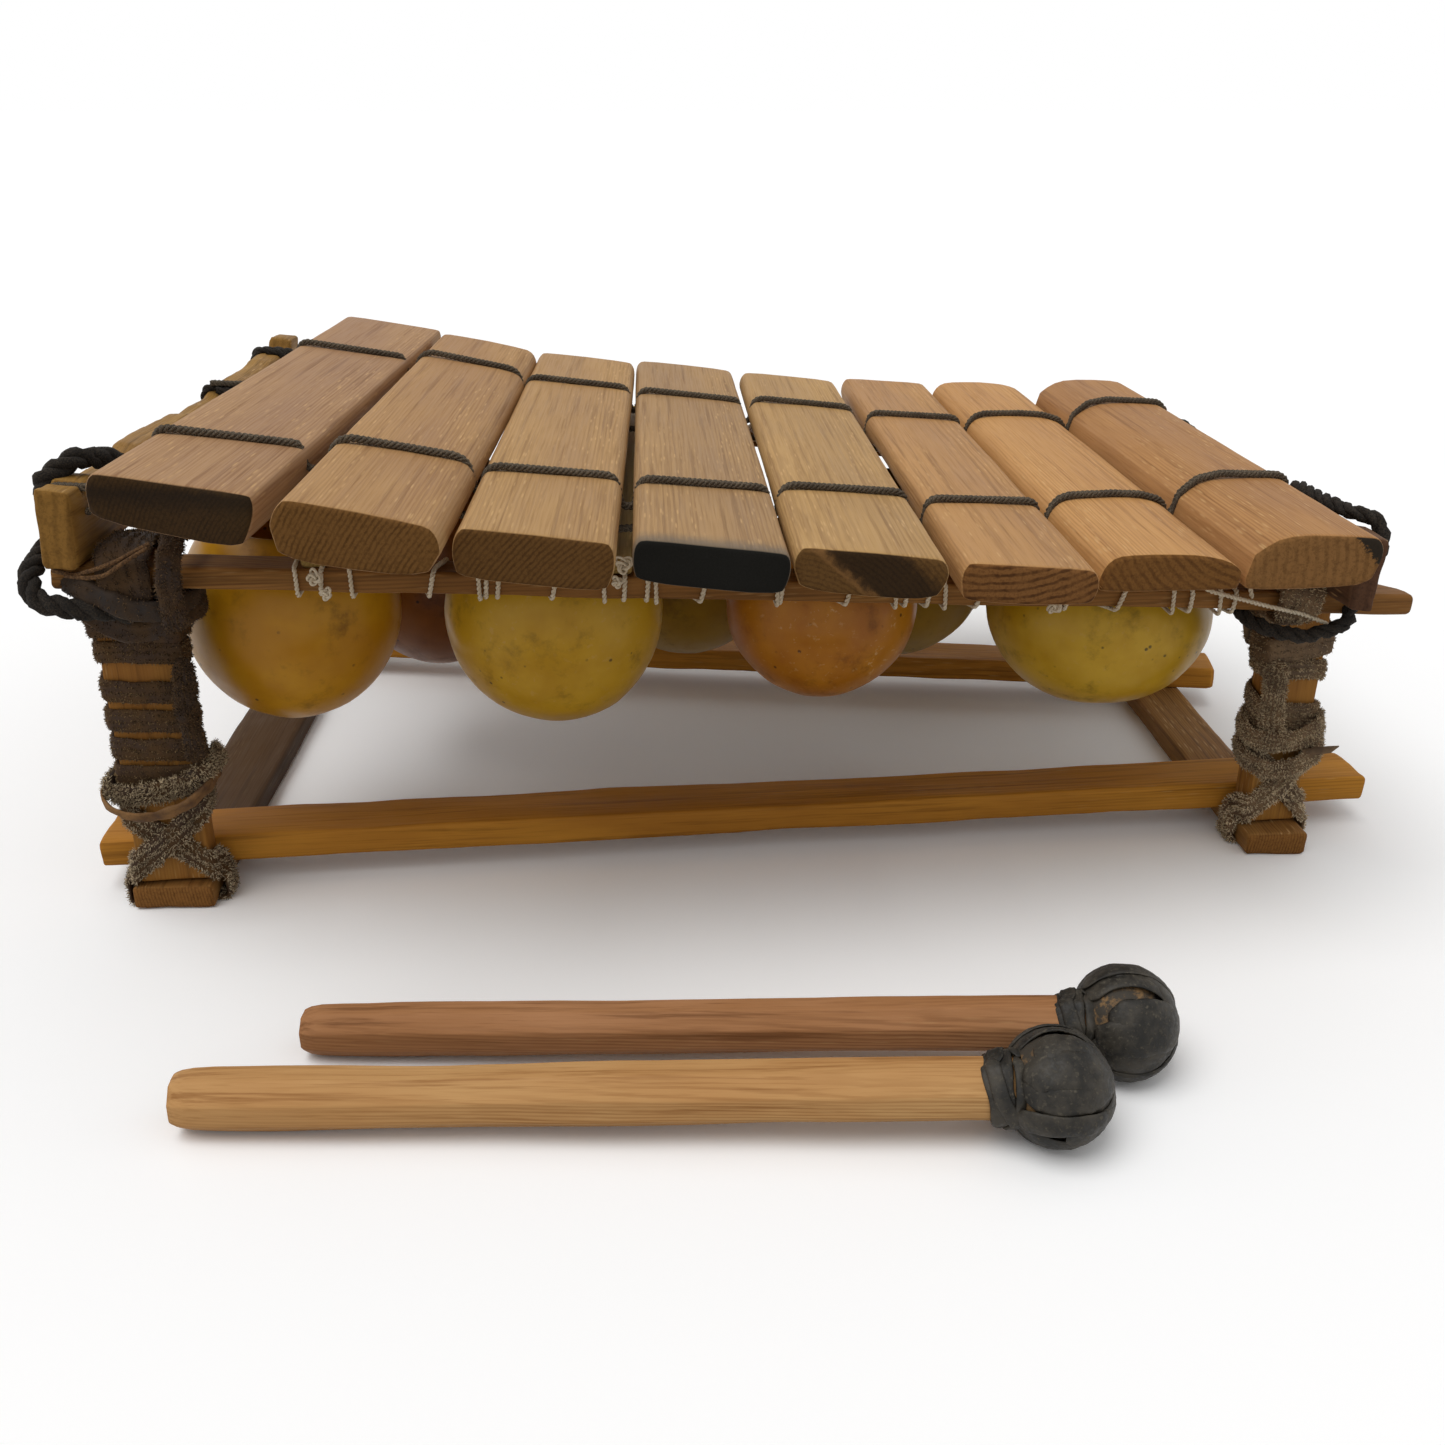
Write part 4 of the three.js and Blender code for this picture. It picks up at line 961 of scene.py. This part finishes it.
def bandStations(node):
    # where a strip's sections stand, with the way across it and the way that its outer face looks
    stations = []
    for corners in ringsOf(node, 4):
        place = sum(corners, Vector()) / 4
        first = corners[0]
        twin = min(corners[1:], key=lambda corner: (corner - first).length)
        others = [corner for corner in corners[1:] if corner is not twin]
        across = ((first + twin) / 2 - (others[0] + others[1]) / 2).normalized()
        out = (twin - first).normalized()
        if stations:
            across *= copysign(1, across.dot(stations[-1][1]))
            out *= copysign(1, out.dot(stations[-1][2]))
        stations.append((place, across, out))
    centre = sum((place for place, across, out in stations), Vector()) / len(stations)
    if sum((place - centre).dot(out) for place, across, out in stations) < 0:
        stations = [(place, across, -out) for place, across, out in stations]
    return stations


def bandAlong(points, centre):
    # a strip that runs through millimetre points with its outer face away from a centre
    route = spread(inMetres(points), hideLooks["step"], 6)
    middle = Vector(centre) * mm
    stations = []
    for here, ahead in zip(route, tangents(route)):
        out = here - middle
        out = (out - ahead * out.dot(ahead)).normalized()
        stations.append((here, ahead.cross(out), out))
    return stations


def layBand(name, stations, width, thickness, ragged, seed, sides=14, fold=0.0, bend=0.0):
    # a flat strip with rounded edges: a grid rolled up along its way, with its seam joined
    shape = bmesh.new()
    count = len(stations) - 1
    bmesh.ops.create_grid(shape, x_segments=count, y_segments=sides, size=0.5)
    for vert in shape.verts:
        index = round((vert.co.x + 0.5) * count)
        angle = (vert.co.y + 0.5) * 2 * pi
        place, across, out = stations[index]
        x = copysign(abs(cos(angle)) ** 0.6, cos(angle))
        y = copysign(abs(sin(angle)) ** 0.75, sin(angle))
        along = index * 0.09 + seed
        half = width / 2 * (1 + ragged * 2 * noise.noise(Vector((along, x * 0.8, seed))))
        bulge = 1 + fold * noise.noise(Vector((along * 0.7, x * 2.2, seed + 9)))
        end = min(1.0, 0.35 + 0.2 * min(index, count - index))
        aside = x * half * end
        lift = y * thickness / 2 * bulge * end - aside * aside * bend
        vert.co = place + across * aside + out * lift
    bmesh.ops.remove_doubles(shape, verts=shape.verts, dist=1e-7)
    seams = [edge for edge in shape.edges if edge.is_boundary]
    bmesh.ops.holes_fill(shape, edges=seams, sides=0)
    bmesh.ops.recalc_face_normals(shape, faces=shape.faces)
    return shapeToObject(shape, name)


def growFur(piece, name, count, length, axis, seed):
    # short hairs on the outer faces of a strip, lying mostly one way
    chance = random.Random(seed)
    mesh = piece.data

    def faceOut(face):
        away = Vector((face.center.x - axis[0], face.center.y - axis[1], 0))
        return face.normal.dot(away.normalized())

    outer = [face for face in mesh.polygons if faceOut(face) > -0.2]
    lines = []
    for face in chance.choices(outer, weights=[face.area for face in outer], k=count):
        corners = [mesh.vertices[place].co for place in face.vertices]
        shares = [chance.random() + 0.05 for _ in corners]
        root = sum((corner * share for corner, share in zip(corners, shares)), Vector())
        root = root / sum(shares)
        lean = [chance.uniform(-1, 1), chance.uniform(-1, 1), chance.uniform(-1.3, 0.5)]
        lean = Vector(lean) * 0.8 + noise.noise_vector(root * 160) * 0.7
        way = (face.normal * 0.75 + lean - face.normal * lean.dot(face.normal)).normalized()
        reach = length * chance.uniform(0.55, 1.15)
        lines.append([root - face.normal * 0.0002, root + way * reach])
    return drawLines(name, lines, 0.0002, 0, 0.35, False)


def woundStations(node, leg, axis, side, end):
    low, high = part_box(node)
    wound = hideLooks["wound"]
    drop = low[2] + wound["rise"] - high[2]
    levels = [high[2] + drop * share for share in hideLooks["windings"][end]]
    front = (0, -1 if side == "front" else 1, 0)
    stations = windRound(nodeTree(leg), (*axis, 0), upwards, len(levels) - 0.2, levels,
                         wound["gap"], front, begin=wound["begin"])
    return easeStations(stations, hideLooks["step"], 2)


def makeHide():
    skins = {end: hideMaterial("hide_" + end, tones) for end, tones in hideLooks["skins"].items()}
    for kind, looks in hideLooks["strips"].items():
        width, thickness, ragged, lift, count, length = looks
        for end in ("left", "right"):
            fur = furMaterial(f"fur_{kind}_{end}", hideLooks["furs"][kind][end])
            for side in splays:
                node, leg = f"{kind}_{side}_{end}", f"leg_{side}_{end}"
                seed = len(node) + 3 * (side == "front")
                axis = [(low + high) / 2 for low, high in zip(*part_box(leg))][:2]
                if kind == "leg_wrap":
                    stations = woundStations(node, leg, axis, side, end)
                else:
                    stations = [(place + out * lift, across, out) for place, across, out
                                in easeStations(bandStations(node), hideLooks["step"])]
                piece = layBand(node + "_hide", stations, width, thickness, ragged, seed, fold=0.3)
                wobble(piece.data, 0.0003, (220, 220, 220), seed)
                hairs = growFur(piece, node + "_fur", count, length, axis, seed)
                finishPiece(piece, skins[end], [node])
                finishPiece(hairs, fur, [node])
    print("hide done")


makeHide()

# folds, loose straps and tufts over the bound corners: the centre that each lies round, its width
# and thickness, how many hairs, its skin and fur, and millimetre points along it
foldLooks = {
    "cap_patch": ((-222, -78, 136), 17, 2.4, 1500, "left", "dark", [
        (-222, -57, 145), (-222, -72, 148), (-221, -88, 148), (-220, -96.5, 145),
        (-219.5, -98, 138), (-219, -97, 131.5), (-219, -91, 127)]),
    "cap_fold_upper": ((-224, -77, 132), 8, 3.6, 300, "leather", "dark", [
        (-241, -60, 137), (-244, -76, 138), (-241, -92, 138), (-232, -98.5, 137),
        (-225, -99.5, 133), (-218, -98.5, 129.5), (-211, -97, 127.5), (-204.5, -92, 127.5),
        (-203, -78, 127), (-205, -60, 126)]),
    "cap_fold_lower": ((-224, -72, 121), 9, 4.2, 500, "left", "dark", [
        (-241, -58, 123), (-243.5, -74, 125), (-239, -86, 126.5), (-232, -89.5, 122),
        (-225, -88.5, 118), (-217, -88, 118), (-209, -86, 121), (-204.5, -76, 121.5),
        (-205, -60, 120)]),
    "cap_side": ((-216, -76, 136), 8, 2.8, 1200, "left", "dark", [
        (-204, -68, 152), (-203, -86, 152), (-202.5, -98, 149), (-203.5, -100, 141),
        (-204.5, -98.5, 132), (-206, -93, 124), (-208, -84, 117)]),
    "foot_strand_left": ((-227, -68, 54), 7.5, 3, 3200, "left", "pale", [
        (-212, -56.5, 57), (-236, -56.5, 55), (-245, -64, 52.5), (-245.5, -78, 50.5),
        (-238, -81.5, 50.5), (-226, -82, 52), (-214, -81.5, 56), (-208, -78.5, 59.5),
        (-207, -66, 60), (-210, -57, 58)]),
    "foot_strap_left": ((-227, -68, 54), 4.5, 1.7, 0, "tan", None, [
        (-240, -60, 54), (-246.5, -68, 52), (-248, -79, 49.5), (-243, -85, 46.5),
        (-234, -87.5, 44.5), (-224, -87, 45), (-214, -85.5, 48.5), (-207.5, -81, 53),
        (-206, -70, 56), (-209, -60, 57)]),
    "rail_patch_right": ((204, -48, 114), 16, 2.6, 2600, "right", "right", [
        (208, -26, 125), (207, -40, 127), (206, -54, 126.5), (205, -63, 123.5),
        (203.5, -68, 118), (202, -68.5, 111), (202, -64, 106)]),
    "spine_right": ((214, -38, 66), 9, 2.4, 1800, "right", "right", [
        (207, -48.5, 84), (207, -48.8, 72), (207.5, -48.8, 60), (209, -48.8, 48)]),
    "foot_strand_right": ((215, -38, 53), 9, 3, 3000, "right", "right", [
        (226, -28, 56), (208, -27, 55), (201.5, -34, 52), (201, -46, 50), (208, -51, 49.5),
        (217, -52, 50.5), (226, -50.5, 54), (230.5, -44, 56), (229.5, -33, 57)]),
    "foot_band_right": ((215, -38, 42), 8, 2.6, 2600, "right", "right", [
        (226, -28, 44), (208, -27, 43), (201, -34, 42), (200.5, -46, 40), (207, -51.5, 38),
        (216, -53, 39), (226, -52, 43), (231, -46, 47), (230.5, -34, 46)]),
    "spine_left": ((-220, -66, 84), 7.5, 2.2, 1500, "left", "dark", [
        (-210.5, -78.6, 104), (-211, -78.8, 90), (-211, -78.8, 74), (-210.5, -78.8, 62)]),
}
furLooks = {  # tones, and the length of the hairs
    "dark": ("#2c1d10 #6a5236", 0.0011),
    "pale": ("#5e4c36 #d2be9c", 0.002),
    "right": ("#73604a #dcc6a2", 0.0014),
}
skinTones = {
    "left": "#2c1c0f #48331c", "right": "#4c3a28 #7a6248",
    "leather": "#1d130c #3c2c1c", "tan": "#4a3018 #87633c",
}
bandShape = {"ragged": 0.12, "sides": 20, "fold": 0.7}
stripEnd = {"radius": 0.0016, "tip": 0.15, "points": [
    (221, -52, 45.5), (226, -53.5, 46.6), (231, -54, 47.4), (235, -53.5, 48.6)]}


def makeFolds():
    skins = {name: hideMaterial("skin_" + name, tones) for name, tones in skinTones.items()}
    furs = {name: furMaterial("tuft_" + name, looks[0]) for name, looks in furLooks.items()}
    for number, (name, looks) in enumerate(foldLooks.items()):
        centre, width, thickness, count, skin, fur, points = looks
        stations = bandAlong(points, centre)
        piece = layBand(name, stations, width * mm, thickness * mm, seed=number * 1.7, **bandShape)
        wobble(piece.data, 0.0006, (170, 170, 170), number)
        finishPiece(piece, skins[skin])
        if fur:
            axis = [part * mm for part in centre]
            hairs = growFur(piece, name + "_fur", count, furLooks[fur][1], axis, number)
            finishPiece(hairs, furs[fur])
    lines = [inMetres(stripEnd["points"])]
    piece = drawLines("strip_end", lines, stripEnd["radius"], 2, stripEnd["tip"])
    finishPiece(piece, skins["right"])
    print("folds done")


makeFolds()

beaterLooks = {
    "sticks": [  # slot and tones
        ("beater_wood_pale", "#835326 #b98955 #cea46e"),
        ("beater_wood_red", "#5e371a #a17047 #ba8961"),
    ],
    "stickStep": 0.02,
    "stickEase": 0.0007,
    "headLong": 0.0155,
    "headRound": 0.0170,
    "core": (0.0012, 4),  # voxel, rounds of smoothing
    "coreShrink": 0.0008,
    "bandTurn": 37,  # degrees that the second head's bands are turned on from the first's
    "bandThick": 0.0013,
    # how far a band is turned about the stick, its shift off the middle, width, height, and how
    # much of the way round it goes
    "bands": [
        (10, 0.0, 13, 0.3, 1.0), (55, 3.5, 12, 0.7, 0.9), (100, -3.0, 12, 1.0, 0.95),
        (150, 2.5, 12, 1.3, 0.8), (200, 6.0, 9, 1.5, 0.6), (305, -6.0, 8, 1.7, 0.55),
        (80, 8.0, 10, 0.5, 0.8), (30, -8.5, 10, 0.4, 0.9), (330, 9.0, 9, 0.9, 0.9),
    ],
    "neckThick": 0.0014,
    "neck": [  # tilt and swing, start along the stick from the head's back, turns, width, lift
        (0.26, 0.06, -1.0, 1.1, 9, 0.9), (0.46, 0.1, 0.5, 1.05, 5.0, 1.8),
        (-0.12, -0.1, 1.5, 1.0, 3.5, 2.0),
    ],
}


def rubberMaterial():
    return mottledMaterial("rubberStrip", "#191713 #3f3a32 #6e6759", (110, 4, 0.6, 0.35, 0.68),
                           (700, 4, 0.65, 0.52, 0.75, 0.5), (1, 0.3, 0.7, 0.42, 0.72), 0.3,
                           (0.4, 0.0006, 0.5))


def coreMaterial():
    # the plugged core and the glue that show between the strips
    return mottledMaterial("headCore", "#7d5f3a #332c22", (240, 4, 0.65, 0.36, 0.52), None,
                           0.75, 0.5, (0.5, 0.0005, 0))


def beaterAxis(number):
    # the middle of the head, and the way to it from the middle of the butt
    stick = [vert.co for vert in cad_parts[f"beater_{number}_stick"].data.vertices]
    low = min(place.x for place in stick)
    butt = [place for place in stick if place.x < low + 0.0025]
    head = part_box(f"beater_{number}_head")
    middle = (Vector(head[0]) + Vector(head[1])) / 2
    return middle, (middle - sum(butt, Vector()) / len(butt)).normalized()


def headBand(name, middle, axis, turned, shift, width, height, share):
    # a stretched strip that runs over the ball from the neck to the crown and back
    long, wide = beaterLooks["headLong"], beaterLooks["headRound"]
    up = (upwards - axis * upwards.dot(axis)).normalized()
    across = up * cos(turned) + axis.cross(up) * sin(turned)
    ahead = axis.cross(across)
    ball = sqrt(max(1 - (shift / wide) ** 2, 0.1))
    stations = []
    steps = int(64 * share)
    for step in range(steps + 1):
        angle = pi * (0.16 + 1.68 * share * step / steps)
        out = axis * -cos(angle) * long + ahead * sin(angle) * wide
        place = middle + across * shift + out * ball * (1 + height / wide)
        outward = (out * ball + across * shift).normalized()
        side = across - outward * across.dot(outward)
        stations.append((place, side.normalized(), outward))
    return layBand(name, stations, width, beaterLooks["bandThick"], 0.1,
                   degrees(turned) * 0.1, 16, 0.5, 0.5 / wide)


def makeBeaters():
    rubber, core = rubberMaterial(), coreMaterial()
    looks = beaterLooks
    for number, (slot, tones) in enumerate(looks["sticks"], 1):
        middle, axis = beaterAxis(number)
        body = f"beater_{number}"
        stick = body + "_stick"
        piece = softCopy(stick, stick + "_wood", axis, looks["stickStep"], looks["stickEase"])
        wobble(piece.data, 0.0007, (14, 50, 50), number)
        turn = atan2(axis.y, axis.x)
        material = woodMaterial(stick + "_wood", tones, "X", middle, turn,
                                dashDepth=0.15, hairDepth=0.6, bandDepth=0.4)
        finishPiece(piece, material, [stick], body)
        ball = hewnCopy(body + "_head", body + "_head_core", *looks["core"])
        for vert in ball.data.vertices:
            vert.co -= vert.normal * looks["coreShrink"]
        finishPiece(ball, core, [body + "_head"], body)
        for place, (turned, shift, width, height, share) in enumerate(looks["bands"]):
            angle = radians(turned + looks["bandTurn"] * number)
            band = headBand(f"{body}_band_{place + 1}", middle, axis, angle, shift * mm,
                            width * mm, height * mm, share)
            wobble(band.data, 0.0003, (260, 260, 260), place)
            finishPiece(band, rubber, (), body)
        back = middle - axis * looks["headLong"]
        tree = nodeTree(stick)
        side = axis.cross(upwards).normalized()
        for place, (lean, swing, along, turns, width, lift) in enumerate(looks["neck"]):
            tilted = axis + upwards * lean + side * swing
            stations = windRound(tree, back + axis * along * mm, tilted, turns, 0.001, lift * mm,
                                 upwards, reach=0.02)
            strip = layBand(f"{body}_neck_strip_{place + 1}", easeStations(stations, 0.0012, 2),
                            width * mm, looks["neckThick"], 0.15, place, 14, 0.6)
            replaced = [body + "_neck"] if place == 0 else ()
            finishPiece(strip, rubber, replaced, body)
    print("beaters done")


makeBeaters()
